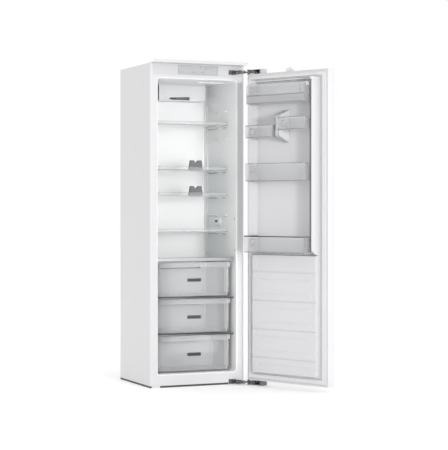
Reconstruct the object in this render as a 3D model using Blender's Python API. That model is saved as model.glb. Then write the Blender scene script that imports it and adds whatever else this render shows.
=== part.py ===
"""Column larder refrigerator for building into a 1780 mm niche, door open on link hinges.

Metres, +Z up, front towards -Y. The origin is the centre of the base's flat underside.
Door pieces are drawn where they stand with the door shut, then swung open about the hinge,
so what must fit the cabinet is read straight from the cabinet's own sizes.
"""

import math

import bmesh
import bpy
from mathutils import Matrix, Vector

# Gaps and overruns shared by the whole object
seat = 0.0003            # gap between two pieces that touch
over = 0.02              # how far a cutter runs past what it cuts
bite = 0.001             # how far a joined feature sinks into its carrier
arc_steps = 4            # facets in a quarter round

# Cabinet, from its outside in
cabinet_width = 0.557
cabinet_depth = 0.479
cabinet_height = 1.770
base_thickness = 0.010
casing_sheet = 0.001
bevel_run = 0.014        # bevelled front edge of the steel casing
bevel_rise = 0.004
rear_return = 0.020      # casing edge folded round the back
foam_cheek = 0.022       # foam left beside the rear recesses
condenser_recess = 0.0175
recess_drop = 0.030      # top of the rear recess below the cabinet's top
compressor_bay_depth = 0.144
compressor_bay_height = 0.265
back_sheet = 0.0008

# Food space and its formed liner
side_wall = 0.0445       # foamed walls round the food space
top_wall = 0.0834
rear_wall = 0.061
opening_low = 0.0714
opening_corner = 0.014
liner_wall = 0.002
liner_draft = 0.003
mouth_radius = 0.006
rear_radius = 0.025
hump_wall = 0.035        # foamed walls in front of and over the compressor bay
hump_roof = 0.010
hump_radius = 0.016
lug_reach = 0.009
lug_height = 0.007
lug_rise = 0.004         # taper of a lug's underside
front_lug_shares = (0.3110, 0.4258)   # start and end of the front rests in the space's depth
rear_lug_share = 0.5988  # start of the rear rests, which end behind the shelves
spare_lug_shares = (0.8383, 0.6812, 0.2407)   # heights between drawer cover and ceiling
bead_radius = 0.005
bead_rise = 0.019        # corner beads start above the drawer cover and stop below the fan unit
bead_drop = 0.022

# Feet, top strip and control bar
foot_width = 0.050
foot_depth = 0.045
foot_left_inset = 0.008
foot_right_inset = 0.0445
foot_radius = 0.004
strip_sheet = 0.0015
strip_reach = 0.050
strip_back = 0.030
strip_flange = 0.0150
strip_end_lean = 0.008
bar_height = 0.061
fascia_depth = 0.030
fascia_wall = 0.0025
panel_left = 0.1157      # left and right edges of the control panel from the middle
panel_right = 0.1208
panel_foot = 0.0040      # lower edge above the bar's lower edge
panel_height = 0.0495
panel_thickness = 0.0022
panel_sink = 0.0005
key_radius = 0.0052
key_places = (-0.0476, 0.0018, 0.0504)
key_rise = 0.0145        # middle of the keys above the panel's lower edge
key_flange = 0.0015
key_cap = 0.0030
key_proud = 0.0004
board_width = 0.180
board_height = 0.0452
board_stand = 0.0095     # board behind the panel's back
board_thickness = 0.0016

# Fan unit and sensor cover inside
fan_width = 0.285
fan_margin = 0.0475      # from the right wall
fan_depth = 0.088
fan_height = 0.0946
fan_wall = 0.002
fan_lean = 0.005
slot_inset = 0.0685      # outlet slot from the unit's left end and from its underside
slot_length = 0.115
slot_rise = 0.0065
slot_height = 0.010
intake_margin = 0.014
wheel_radius = 0.028
wheel_width = 0.018
wheel_disc = 0.002
wheel_hub = 0.008
wheel_eye = 0.016
wheel_blades = 9
blade_sheet = 0.0012
shaft_radius = 0.003
partition_back = 0.036   # partition behind the wheel, from the unit's left end
sensor_front = 0.205
sensor_back = 0.287
sensor_share = 0.1983    # its height between the drawer cover and the ceiling
sensor_height = 0.044
sensor_proud = 0.009
sensor_crown = 0.006

# Shelves
glass = 0.004
shelf_play = 0.006       # each side of a shelf to the wall
shelf_front = 0.112
shelf_rear = 0.028       # behind a shelf to the rear wall
shelf_shares = (0.7710, 0.5137, 0.3671, 0.1601)   # tops between drawer cover and ceiling
trim_height = 0.020
trim_depth = 0.014
trim_skin = 0.003
trim_lip = 0.0017
cover_front = 0.028
cover_top = 0.706
cover_trim_height = 0.021
divider_rise = 0.0085    # top of the lower divider above the compressor hump
divider_share = 0.4758   # top of the upper one between the lower one and the drawer cover
grip_middle = 0.048
grip_width = 0.080
grip_height = 0.037
grip_front = 0.118
grip_depth = 0.039
grip_sheet = 0.003
grip_top_shares = (0.1111, 0.2778)   # start and end of a hump's flat top across the width
grip_dip_share = 0.66    # what is left of the height between the humps
grip_steps = 18

# Drawers
drawer_play = 0.0175     # each side of a drawer to the wall
drawer_front = 0.050
drawer_rear = 0.030      # behind a drawer to the rear wall
low_drawer_rear = 0.015  # behind the lowest drawer to the compressor hump
drawer_taper = 0.006
drawer_wall = 0.0025
drawer_radius = 0.022
drawer_foot = 0.006
drawer_lip = 0.003
drawer_grip = 0.015      # how far the front lip stands out
drawer_skirt = 0.029
drawer_drops = (0.026, 0.007, 0.0085)   # rims below the glass over them

# Machine compartment
compressor_inset = 0.1785   # from the cabinet's right side
compressor_rx = 0.078
compressor_ry = 0.060
compressor_base = 0.0225
compressor_top = 0.186
compressor_sides = 20
dome_share = 0.25        # how wide the shell still is at its very top
seam_flange = 0.0024
mount_plate = 0.003
mount_length = 0.190
mount_depth = 0.100
rubber_radius = 0.010
terminal_width = 0.038
terminal_depth = 0.058
terminal_height = 0.070
terminal_rise = 0.060
tray_length = 0.170
tray_depth = 0.104
tray_height = 0.026
tray_wall = 0.002
coil_radius = 0.0025
coil_inset = 0.0715      # from the recess's sides
coil_rise = 0.065        # lowest pass above the compressor bay
coil_pitch = 0.120
coil_passes = 10
coil_sides = 6
gland_inset = 0.0885     # from the cabinet's left side
gland_width = 0.036
gland_depth = 0.022
gland_height = 0.030
gland_bore = 0.0045
evaporator_inset = 0.039    # from the food space's sides
evaporator_rise = 0.054     # above the drawer cover
evaporator_drop = 0.1466    # below the ceiling
evaporator_thickness = 0.0018

# Door
door_low = 0.0290
door_drop = 0.051        # door's top end below the cabinet's top
door_thickness = 0.056
door_gap = 0.010         # inner face of the door to the cabinet's front when shut
door_sheet = 0.001
dike_inset = 0.056       # outer foot of the raised side wall from the door's edge
dike_foot = 0.016
dike_crest = 0.011
dike_height = 0.068
dike_drop = 0.040        # below the door's top end
dike_sink = 0.0105       # side walls start below the plateau's upper edge
top_dike_width = 0.011
top_dike_height = 0.025
plateau_rise = 0.0475    # above the door's bottom end
plateau_lap = 0.0205     # upper edge above the drawer cover
plateau_height = 0.031
plateau_draft = 0.004
groove_shares = (0.8552, 0.6138, 0.3732, 0.1351)   # heights on the plateau
groove_width = 0.007
groove_depth = 0.003
rib_count = 8
rib_drop = 0.0583        # first rib below the plateau's upper edge
rib_pitch = 0.0775
rib_width = 0.005
rib_proud = 0.0012
rib_inset = 0.095
rib_end = 0.095
fin_width = 0.030
fin_shift = 0.0005       # middle fin off the door's middle, towards the hinge
fin_draft = 0.002
fin_shares = (0.6395, 0.8214)
fin_height = 0.086
fin_slope = 0.034        # how far the fin's ends lean in by its crest
rack_gap = 0.001
gasket_outer = 0.013
gasket_inner = 0.037
gasket_clear = 0.0005
bracket_shift = 0.0335   # from the door's middle, towards the hinge
bracket_length = 0.040
bracket_depth = 0.018
bracket_height = 0.0215
bracket_off = 0.034
bracket_tail = 0.008

# Door racks, their heights as shares between the plateau and the top wall
rack_wall = 0.0022
rack_radius = 0.006
rack_back = 0.0015
rack_depth = 0.112
rack_taper = 0.003
bottle_depth = 0.1240
boss_reach = 0.0055
boss_root = 0.0040       # how far a post starts outside the rack's end
boss_front = 0.060
boss_back = 0.035
boss_height = 0.009
boss_drop = 0.0185       # top of a boss below the rack's rim
rack_lift = 0.014
slot_clear = 0.0010
dairy_shares = (0.8590, 0.9060, 0.9688)   # floor, front edge and top of the lid
dairy_depth = 0.104
left_rack_shares = (0.6656, 0.7362)
right_rack_shares = (0.7053, 0.7764)
middle_rack_shares = (0.4177, 0.5192)
bottle_rack_shares = (0.0121, 0.1076)
rail_height = 0.006
rail_sheet = 0.0012
lid_sheet = 0.002
lid_bend = 0.012
lid_back = 0.014
lid_clear = 0.0015
lid_cheek = 0.003
pivot_off = 0.053
pivot_share = 0.9353
pivot_radius = 0.003

# Hinge: where the door stands when open, and its two pivots
open_angle = math.radians(115)
open_edge_x = 0.0056     # hinge edge of the open door, inside the cabinet's side
open_edge_y = 0.0650     # and in front of the cabinet's face
door_pivot_inset = 0.005
door_pivot_off = 0.004
arm_reach = 0.0572       # cabinet pivot from the turning centre of the whole swing
leaf_inset = 0.092       # cabinet leaf from the cabinet's right side
leaf_width = 0.042
leaf_sheet = 0.003
leaf_drop = 0.001
tray_low = 0.0028        # heights above the door's end: the door leaf's floor and roof
tray_high = 0.0235
leaf_high = 0.0262
plate_low = 0.0032       # the arm's two plates and the link between them
plate_thickness = 0.0046
link_height = 0.0080
layer_gap = 0.0004
block_near = 0.076       # solid end of the door leaf
block_length = 0.096
block_front = 0.012
block_width = 0.0385
block_wall = 0.003
arm_radius = 0.0115
eye_radius = 0.0095
spacer_radius = 0.0075
pin_radius = 0.0035
pin_clear = 0.00008     # running clearance of pins and axles
pin_sides = 20
head_radius = 0.009
head_height = 0.0014
hinge_steps = 10

# Worked out from the sizes above
half = cabinet_width / 2
front = -cabinet_depth / 2
rear = cabinet_depth / 2
recess_half = half - foam_cheek
recess_plane = rear - condenser_recess
recess_top = cabinet_height - recess_drop
bay_plane = rear - compressor_bay_depth
opening_half = half - side_wall
opening_high = cabinet_height - top_wall
space_depth = cabinet_depth - rear_wall
hump_front = cabinet_depth - compressor_bay_depth - hump_wall
hump_high = compressor_bay_height + hump_roof
shelf_half = opening_half - shelf_play
shelf_back = space_depth - shelf_rear
drawer_half = opening_half - drawer_play
fascia_low = cabinet_height - bar_height
fascia_high = cabinet_height - casing_sheet - seat
panel_low = fascia_low + panel_foot
panel_high = panel_low + panel_height
key_high = panel_low + key_rise
fan_right = opening_half - fan_margin
fan_left = fan_right - fan_width
fan_front = space_depth - fan_depth
fan_low = opening_high - fan_height
compressor_x = half - compressor_inset
coil_half = recess_half - coil_inset
door_face = front - door_gap
door_high = cabinet_height - door_drop
dike_high = door_high - dike_drop
plateau_low = door_low + plateau_rise
plateau_high = cover_top + plateau_lap
fin_near = half - fin_shift - fin_width / 2
fin_far = fin_near + fin_width
leaf_left = half - leaf_inset
link_low = plate_low + plate_thickness + layer_gap
link_high = link_low + link_height
arm_high = link_high + layer_gap + plate_thickness


def part_way(low, high, share):
    """Height that lies a share of the way from low to high."""
    return low + (high - low) * share


shelf_tops = [part_way(cover_top, opening_high, share) for share in shelf_shares]
spare_lugs = [part_way(cover_top, opening_high, share) for share in spare_lug_shares]
sensor_middle = part_way(cover_top, opening_high, sensor_share)
low_divider = hump_high + divider_rise
divider_tops = [part_way(low_divider, cover_top, divider_share), low_divider]
drawer_tops = [top - drop for top, drop in zip([cover_top] + divider_tops, drawer_drops)]


def on_face(shares):
    """Heights on the door's inner face between the plateau and the top wall."""
    return [part_way(plateau_high, dike_high, share) for share in shares]


fin_low, fin_high = on_face(fin_shares)
dairy_low, dairy_front_high, dairy_high = on_face(dairy_shares)
left_rack = on_face(left_rack_shares)
right_rack = on_face(right_rack_shares)
middle_rack = on_face(middle_rack_shares)
bottle_rack = on_face(bottle_rack_shares)
pivot_high = part_way(plateau_high, dike_high, pivot_share)


def clear_scene():
    """Start from an empty scene."""
    for old in list(bpy.data.objects):
        bpy.data.objects.remove(old, do_unlink=True)


def material(name, color, roughness, metallic=0.0, alpha=1.0):
    """Principled surface shared by the pieces made of it."""
    made = bpy.data.materials.new(name)
    made.use_nodes = True
    shader = made.node_tree.nodes["Principled BSDF"]
    shader.inputs["Base Color"].default_value = (*color, 1.0)
    shader.inputs["Roughness"].default_value = roughness
    shader.inputs["Metallic"].default_value = metallic
    shader.inputs["Alpha"].default_value = alpha
    return made


def place(u, v, w, axis):
    """A point from its two outline coordinates and its place along an axis."""
    if axis == "x":
        return Vector((w, u, v))
    if axis == "y":
        return Vector((u, w, v))
    return Vector((u, v, w))


def skin(bm, rows, closed):
    """Faces between rows of points, round and back to the first row or capped at both ends."""
    verts = [[bm.verts.new(point) for point in row] for row in rows]
    count = len(verts[0])
    pairs = list(zip(verts, verts[1:]))
    if closed:
        pairs.append((verts[-1], verts[0]))
    for low, high in pairs:
        for i in range(count):
            j = (i + 1) % count
            bm.faces.new((low[i], low[j], high[j], high[i]))
    if not closed:
        bm.faces.new(verts[0])
        bm.faces.new(verts[-1])


def prism(bm, outline, low, high, axis="z"):
    """Extrude an outline along an axis."""
    skin(bm, [[place(u, v, w, axis) for u, v in outline] for w in (low, high)], False)


def box(bm, x0, x1, y0, y1, z0, z1):
    """Plain block between two corners."""
    prism(bm, [(x0, y0), (x1, y0), (x1, y1), (x0, y1)], z0, z1)


def arc(u, v, radius, start, turn, steps=arc_steps):
    """Points on an arc, both ends included, angles in quarter turns."""
    angles = [(start + turn * i / steps) * math.pi / 2 for i in range(steps + 1)]
    return [(u + radius * math.cos(a), v + radius * math.sin(a)) for a in angles]


def rounded(u0, u1, v0, v1, low_radius, high_radius=None, steps=arc_steps):
    """Rectangle with round corners, one radius along its low v side and one along its high."""
    top = low_radius if high_radius is None else high_radius
    points = arc(u0 + low_radius, v0 + low_radius, low_radius, 2, 1, steps)
    points += arc(u1 - low_radius, v0 + low_radius, low_radius, 3, 1, steps)
    points += arc(u1 - top, v1 - top, top, 0, 1, steps)
    points += arc(u0 + top, v1 - top, top, 1, 1, steps)
    return points


def disc(u, v, radius, sides):
    """Regular polygon standing for a circle."""
    return [(u + radius * math.cos(math.tau * i / sides), v + radius * math.sin(math.tau * i / sides))
            for i in range(sides)]


def capsule(p, q, p_radius, q_radius, steps=hinge_steps):
    """Outline of a bar with round ends about two points in plan."""
    way = math.atan2(q[1] - p[1], q[0] - p[0])
    span = math.hypot(q[0] - p[0], q[1] - p[1])
    lean = math.acos((p_radius - q_radius) / span)
    points = []
    for centre, radius, start, turn in ((q, q_radius, way - lean, 2 * lean),
                                        (p, p_radius, way + lean, 2 * (math.pi - lean))):
        for i in range(steps + 1):
            angle = start + turn * i / steps
            points.append((centre[0] + radius * math.cos(angle), centre[1] + radius * math.sin(angle)))
    return points


def solid(name, build):
    """New object from a function that fills a mesh with closed bodies."""
    bm = bmesh.new()
    build(bm)
    bmesh.ops.recalc_face_normals(bm, faces=bm.faces)
    mesh = bpy.data.meshes.new(name)
    bm.to_mesh(mesh)
    bm.free()
    made = bpy.data.objects.new(name, mesh)
    bpy.context.scene.collection.objects.link(made)
    return made


def combine(target, build, operation):
    """Join to the object, or cut from it, the bodies that a function builds."""
    tool = solid("tool", build)
    modifier = target.modifiers.new("combine", "BOOLEAN")
    modifier.operation = operation
    modifier.solver = "EXACT"
    modifier.object = tool
    graph = bpy.context.evaluated_depsgraph_get()
    mesh = bpy.data.meshes.new_from_object(target.evaluated_get(graph))
    target.modifiers.clear()
    old = target.data
    target.data = mesh
    bpy.data.meshes.remove(old)
    bpy.data.objects.remove(tool, do_unlink=True)


def cut(target, build):
    combine(target, build, "DIFFERENCE")


def join(target, build):
    combine(target, build, "UNION")


def finish(made, name, surface, parent=None, smooth=True):
    """Name the piece, give it its surface, and hang it on its joint's empty."""
    made.name = name
    made.data.name = name
    made.data.materials.clear()
    made.data.materials.append(surface)
    if smooth:
        made.data.shade_smooth()
        made.data.set_sharp_from_angle(angle=math.radians(30))
    if parent is not None:
        made.parent = parent
    return made


def joint_empty(name, place_at, turn=0.0):
    """Empty on a joint's axis; what moves with the joint hangs on it."""
    made = bpy.data.objects.new(name, None)
    made.location = place_at
    made.rotation_euler = (0, 0, turn)
    bpy.context.scene.collection.objects.link(made)
    return made


def hang(made, empty, shut_at):
    """Draw a piece about its joint: its mesh moves so that shut_at lies on the empty."""
    made.data.transform(Matrix.Translation(-Vector(shut_at)))
    made.parent = empty


def centre_on(made, joint_at):
    """Put a piece's own origin on its joint, the piece staying where it is."""
    made.data.transform(Matrix.Translation(-Vector(joint_at)))
    made.location = joint_at


def carry(made, carrier):
    """Let a piece move with the piece that it is fixed to."""
    made.data.transform(Matrix.Translation(-carrier.location))
    made.parent = carrier


def stand(bm, x, y, radius, low, high, sides=16):
    """Upright round bar."""
    prism(bm, disc(x, y, radius, sides), low, high)


def shaft(bm, y, z, radius, x0, x1, sides=16):
    """Round bar along X."""
    prism(bm, disc(y, z, radius, sides), x0, x1, "x")


def tube(bm, points, radius, sides):
    """Round tube along a path, closed at both ends."""
    path = [Vector(point) for point in points]
    ways = [(b - a).normalized() for a, b in zip(path, path[1:])]
    side = ways[0].orthogonal().normalized()
    rows = []
    for i, point in enumerate(path):
        before = ways[max(i - 1, 0)]
        after = ways[min(i, len(ways) - 1)]
        way = (before + after).normalized()
        side = (side - way * side.dot(way)).normalized()
        up = way.cross(side)
        row = []
        for j in range(sides):
            angle = math.tau * j / sides
            row.append(point + (side * math.cos(angle) + up * math.sin(angle)) * radius)
        rows.append(row)
    skin(bm, rows, False)


# Food space

def space_rows(grow):
    """Round-cornered rectangles of the food space from its rolled mouth to its rear wall."""
    bend = mouth_radius - grow
    turns = [math.pi / 2 * i / arc_steps for i in range(0 if grow > 0 else 1, arc_steps + 1)]
    steps = [(bend * math.sin(t) - mouth_radius, mouth_radius - bend * math.cos(t)) for t in turns]
    steps.insert(0, (steps[0][0], 0 if grow > 0 else -over))
    round_back = rear_radius + grow
    deep = space_depth - rear_radius
    for i in range(arc_steps + 1):
        t = math.pi / 2 * i / arc_steps
        inset = liner_draft - grow + round_back * (1 - math.cos(t))
        steps.append((inset, deep + round_back * math.sin(t)))
    rows = []
    for inset, depth in steps:
        radius = max(opening_corner - inset, mouth_radius)
        side = opening_half - inset
        outline = rounded(-side, side, opening_low + inset, opening_high - inset, radius)
        rows.append([place(u, v, front + depth, "y") for u, v in outline])
    return rows


def lug_spans():
    """Depths covered by the rear and the front rest of each level."""
    start, end = (space_depth * share for share in front_lug_shares)
    return ((space_depth * rear_lug_share, shelf_back - trim_lip), (start, end))


def space(grow, lugs=True):
    """The food space as a body, swelled by a wall's thickness."""
    made = solid("space", lambda bm: skin(bm, space_rows(grow), False))

    def hump(bm):
        face = front + hump_front + grow
        top = hump_high - grow
        bend = hump_radius - grow
        outline = [(face, opening_low - over), (rear, opening_low - over), (rear, top)]
        outline += arc(face + bend, top - bend, bend, 1, 1)
        prism(bm, outline, -half, half, "x")

    cut(made, hump)
    if lugs:
        def rests(bm):
            levels = [top - trim_height for top in shelf_tops] + list(spare_lugs)
            levels += [cover_top - cover_trim_height]
            levels += [top - glass for top in divider_tops]
            reach = opening_half - lug_reach + grow
            for level in levels:
                outline = [(reach, level - grow), (half, level - grow)]
                outline += [(half, level - lug_height - lug_rise + grow)]
                outline += [(reach, level - lug_height + grow)]
                for near, far in lug_spans():
                    for way in (-1, 1):
                        turned = [(way * u, v) for u, v in outline]
                        prism(bm, turned, front + near + grow, front + far - grow, "y")

        cut(made, rests)

        def beads(bm):
            for way in (-1, 1):
                x = way * (opening_half - rear_radius / 2)
                stand(bm, x, front + space_depth - rear_radius / 4, bead_radius - grow,
                      cover_top + bead_rise, fan_low - bead_drop, 12)

        cut(made, beads)
    return made


def use(target, tool, operation):
    """Boolean with an object made beforehand, which is then removed."""
    modifier = target.modifiers.new("use", "BOOLEAN")
    modifier.operation = operation
    modifier.solver = "EXACT"
    modifier.object = tool
    graph = bpy.context.evaluated_depsgraph_get()
    mesh = bpy.data.meshes.new_from_object(target.evaluated_get(graph))
    target.modifiers.clear()
    target.data = mesh
    bpy.data.objects.remove(tool, do_unlink=True)


# Cabinet

def casing_plan(inset, back):
    side = half - inset
    face = front + inset
    return [(-side, back), (-side, face + bevel_rise), (bevel_run - side, face),
            (side - bevel_run, face), (side, face + bevel_rise), (side, back)]


def make_casing(surface):
    floor = base_thickness + seat
    made = solid("casing", lambda bm: prism(bm, casing_plan(0, rear), floor, cabinet_height))

    def hollow(bm):
        plan = casing_plan(casing_sheet, rear - casing_sheet)
        prism(bm, plan, floor - over, cabinet_height - casing_sheet)

    def back_hole(bm):
        side = half - rear_return
        box(bm, -side, side, rear - over, rear + over, -over, recess_top)

    def mouth(bm):
        spread = mouth_radius + seat
        side = opening_half + spread
        outline = rounded(-side, side, opening_low - spread, opening_high + spread,
                          opening_corner + spread)
        prism(bm, outline, front - over, front + over, "y")

    def bar_hole(bm):
        side = half - bevel_run
        box(bm, -side, side, front - over, front + over, fascia_low - seat, fascia_high + seat)

    for step in (hollow, back_hole, mouth, bar_hole):
        cut(made, step)
    return finish(made, "outer_casing", surface)


def make_base(surface):
    made = solid("base", lambda bm: prism(bm, casing_plan(0, rear), 0, base_thickness))

    def notches(bm):
        for left in foot_lefts():
            box(bm, left - seat, left + foot_width + seat, front - over,
                front + foot_depth + seat, -over, over)

    cut(made, notches)
    return finish(made, "base_plate", surface)


def foot_lefts():
    return (foot_left_inset - half, half - foot_right_inset - foot_width)


def make_foot(left, name, surface):
    outline = rounded(left, left + foot_width, front, front + foot_depth, foot_radius,
                      foot_radius, 2)
    made = solid("foot", lambda bm: prism(bm, outline, 0, base_thickness))
    return finish(made, name, surface)


def make_foam(surface):
    skin_gap = casing_sheet + seat
    top = cabinet_height - skin_gap

    def block(bm):
        prism(bm, casing_plan(skin_gap, rear - skin_gap), base_thickness + seat, top)

    made = solid("foam", block)
    use(made, space(liner_wall + seat, False), "DIFFERENCE")

    def recesses(bm):
        outline = [(recess_plane, recess_top), (rear + over, recess_top)]
        outline += [(rear + over, -over), (bay_plane, -over)]
        outline += [(bay_plane, compressor_bay_height), (recess_plane, compressor_bay_height)]
        prism(bm, outline, -recess_half, recess_half, "x")

    def bar_room(bm):
        side = half - bevel_run
        box(bm, -side, side, front - over, front + fascia_depth, fascia_low - seat, top + over)

    def evaporator_pocket(bm):
        side = opening_half - evaporator_inset + seat
        face = front + space_depth
        box(bm, -side, side, face - over / 2, face + evaporator_reach() + seat,
            cover_top + evaporator_rise - seat, opening_high - evaporator_drop + seat)

    for step in (recesses, bar_room, evaporator_pocket):
        cut(made, step)
    return finish(made, "insulation_foam", surface, smooth=False)


def evaporator_reach():
    """Back of the evaporator plate, behind the liner's inner face."""
    return liner_wall + seat + evaporator_thickness


def make_evaporator(surface):
    def build(bm):
        near = front + space_depth + liner_wall + seat
        side = opening_half - evaporator_inset
        box(bm, -side, side, near, near + evaporator_thickness,
            cover_top + evaporator_rise, opening_high - evaporator_drop)

    return finish(solid("evaporator", build), "evaporator_plate", surface)


def make_liner(surface):
    made = space(liner_wall)
    use(made, space(0), "DIFFERENCE")
    return finish(made, "inner_liner", surface)


def make_back_panel(surface):
    near = recess_plane + seat
    low = bay_plane + seat
    shelf = compressor_bay_height - seat
    foot = base_thickness + seat
    top = recess_top - seat
    outline = [(near, top), (near, shelf), (low, shelf), (low, foot)]
    outline += [(low + back_sheet, foot), (low + back_sheet, shelf - back_sheet)]
    outline += [(near + back_sheet, shelf - back_sheet), (near + back_sheet, top)]
    side = recess_half - seat
    made = solid("panel", lambda bm: prism(bm, outline, -side, side, "x"))
    return finish(made, "back_panel", surface)


def make_strip(surface):
    """Angle strip on the casing's front top edge, its flange's right end leaning out."""
    low = cabinet_height + seat

    def build(bm):
        near = front - strip_reach
        box(bm, -half, half, near, front + strip_back, low, low + strip_sheet)

    def flange(bm):
        near = front - strip_reach
        outline = [(-half, low), (half - strip_end_lean / 2, low)]
        outline += [(half + strip_end_lean, low + strip_sheet + strip_flange)]
        outline += [(-half, low + strip_sheet + strip_flange)]
        prism(bm, outline, near, near + strip_sheet, "y")

    made = solid("strip", build)
    join(made, flange)
    return finish(made, "top_mounting_strip", surface)


def make_fascia(surface):
    side = half - bevel_run - seat

    def block(bm):
        box(bm, -side, side, front, front + fascia_depth - seat, fascia_low, fascia_high)

    def hollow(bm):
        inner = side - fascia_wall
        box(bm, -inner, inner, front + fascia_wall, front + fascia_depth + over,
            fascia_low + fascia_wall, fascia_high - fascia_wall)

    def window(bm):
        box(bm, -panel_left - seat, panel_right + seat, front - over, front + over / 2,
            panel_low - seat, panel_high + seat)

    made = solid("fascia", block)
    cut(made, hollow)
    cut(made, window)
    return finish(made, "control_fascia", surface)


def make_panel(surface):
    near = front + panel_sink

    def plate(bm):
        box(bm, -panel_left, panel_right, near, near + panel_thickness, panel_low, panel_high)

    def holes(bm):
        for x in key_places:
            prism(bm, disc(x, key_high, key_radius + seat, 16), near - over, near + over, "y")

    made = solid("panel", plate)
    cut(made, holes)
    return finish(made, "control_panel", surface)


def make_board(surface):
    near = front + panel_sink + panel_thickness + board_stand

    def build(bm):
        middle = (panel_right - panel_left) / 2
        low = fascia_low + fascia_wall + seat
        box(bm, middle - board_width / 2, middle + board_width / 2, near,
            near + board_thickness, low, low + board_height)

    return finish(solid("board", build), "control_board", surface)


def make_key(index, surface):
    """Push key: cap through the panel and a flange behind it."""
    x = key_places[index]
    back = front + panel_sink + panel_thickness

    def build(bm):
        near = front + panel_sink - key_proud
        prism(bm, disc(x, key_high, key_radius, 16), near, back + seat + key_flange, "y")

    key = solid("key", build)

    def flange(bm):
        prism(bm, disc(x, key_high, key_radius + key_flange, 16), back + seat,
              back + seat + key_flange + key_cap, "y")

    join(key, flange)
    finish(key, f"key_{index + 1}", surface)
    centre_on(key, (x, back, key_high))
    return key


# Fan unit and sensor

def make_fan_housing(surface):
    ceiling = opening_high + over

    def outline(inset):
        near = front + fan_front + inset
        low = fan_low + inset
        return [(near, ceiling), (near + fan_lean, low), (rear, low), (rear, ceiling)]

    made = solid("fan", lambda bm: prism(bm, outline(0), fan_left, fan_right, "x"))
    use(made, space(-seat, False), "INTERSECT")
    room = solid("room", lambda bm: prism(bm, outline(fan_wall), fan_left + fan_wall,
                                          fan_right - fan_wall, "x"))
    use(room, space(-seat - fan_wall, False), "INTERSECT")
    use(made, room, "DIFFERENCE")

    def slots(bm):
        left = fan_left + slot_inset
        low = fan_low + slot_rise
        box(bm, left, left + slot_length, front + fan_front - over, front + fan_front + over,
            low, low + slot_height)
        box(bm, fan_left - over, fan_left + over, front + fan_front + intake_margin,
            front + space_depth - rear_radius, fan_low + intake_margin,
            opening_high - rear_radius)

    cut(made, slots)

    def partition(bm):
        x = fan_left + partition_back
        box(bm, x, x + fan_wall, front + fan_front + fan_wall, front + space_depth - rear_radius,
            fan_low + fan_wall / 2, opening_high - rear_radius)

    join(made, partition)

    def shaft_hole(bm):
        x = fan_left + partition_back
        shaft(bm, wheel_y(), wheel_z(), shaft_radius + pin_clear, x - over / 2, x + over / 2,
              pin_sides)

    cut(made, shaft_hole)
    return finish(made, "fan_housing", surface)


def wheel_y():
    return front + (fan_front + space_depth - rear_radius) / 2 + intake_margin / 2


def wheel_z():
    return (fan_low + opening_high - rear_radius) / 2 + fan_wall


def make_wheel(surface):
    y = wheel_y()
    z = wheel_z()
    near = fan_left + partition_back - fan_wall - wheel_width
    made = solid("wheel", lambda bm: shaft(bm, y, z, wheel_radius, near + wheel_width - wheel_disc,
                                           near + wheel_width, 24))

    def hub(bm):
        shaft(bm, y, z, wheel_hub, near + wheel_width / 2, near + wheel_width - seat, 16)

    join(made, hub)

    def blades(bm):
        for i in range(wheel_blades):
            angle = math.tau * i / wheel_blades
            out = Vector((math.cos(angle), math.sin(angle)))
            flat = Vector((-out.y, out.x)) * blade_sheet / 2
            a = out * wheel_eye
            b = out * (wheel_radius - blade_sheet)
            ring = [a - flat, b - flat, b + flat, a + flat]
            prism(bm, [(y + p.x, z + p.y) for p in ring], near,
                  near + wheel_width - wheel_disc / 2, "x")

    join(made, blades)

    def axle(bm):
        shaft(bm, y, z, shaft_radius, near + wheel_width - seat,
              fan_left + partition_back + fan_wall + wheel_disc, pin_sides)

    join(made, axle)
    finish(made, "fan_wheel", surface)
    centre_on(made, (near, y, z))
    return made


def make_fan_motor(surface):
    near = fan_left + partition_back + fan_wall + seat

    def build(bm):
        shaft(bm, wheel_y(), wheel_z(), wheel_hub + wheel_disc * 2, near, near + wheel_width, 20)

    def bore(bm):
        shaft(bm, wheel_y(), wheel_z(), shaft_radius + pin_clear, near - over,
              near + wheel_disc + seat, pin_sides)

    made = solid("motor", build)
    cut(made, bore)
    return finish(made, "fan_motor", surface)


def make_sensor(surface):
    """Oval cover on the right wall, its crown narrower than its foot."""
    low = sensor_middle - sensor_height / 2
    high = sensor_middle + sensor_height / 2
    wall = opening_half

    def build(bm):
        rows = []
        for x, inset in ((half, 0), (wall - sensor_crown, 0), (wall - sensor_proud, sensor_crown)):
            radius = (high - low) / 2 - inset
            outline = rounded(front + sensor_front + inset, front + sensor_back - inset,
                              low + inset, high - inset, radius)
            rows.append([place(u, v, x, "x") for u, v in outline])
        skin(bm, rows, False)

    made = solid("sensor", build)
    use(made, space(-seat, False), "INTERSECT")
    return finish(made, "sensor_cover", surface)


# Shelves and drawers

def make_shelf(index, clear, surface):
    """Glass plate with a profile along its front edge, pulled out on its lugs."""
    top = shelf_tops[index]
    low = top - trim_height + seat
    near = front + shelf_front
    side = shelf_half

    def pane(bm):
        box(bm, -side + trim_skin, side - trim_skin, near + trim_skin, front + shelf_back,
            low + seat, low + seat + glass)

    def trim(bm):
        box(bm, -side, side, near, near + trim_depth, low - seat / 2, top)

    def room(bm):
        box(bm, -side - over, side + over, near + trim_skin, near + trim_depth + over,
            low + glass + seat + trim_skin, top + over)

    def groove(bm):
        box(bm, -side + trim_skin - seat, side - trim_skin + seat, near + trim_skin - seat,
            near + trim_depth + over, low - over, low + glass + seat * 2)

    plate = finish(solid("pane", pane), f"shelf_{index + 1}_glass", clear)
    edge = solid("trim", trim)
    cut(edge, room)
    cut(edge, groove)
    finish(edge, f"shelf_{index + 1}_trim", surface)
    centre_on(plate, (0, near, low))
    carry(edge, plate)
    return plate


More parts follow.
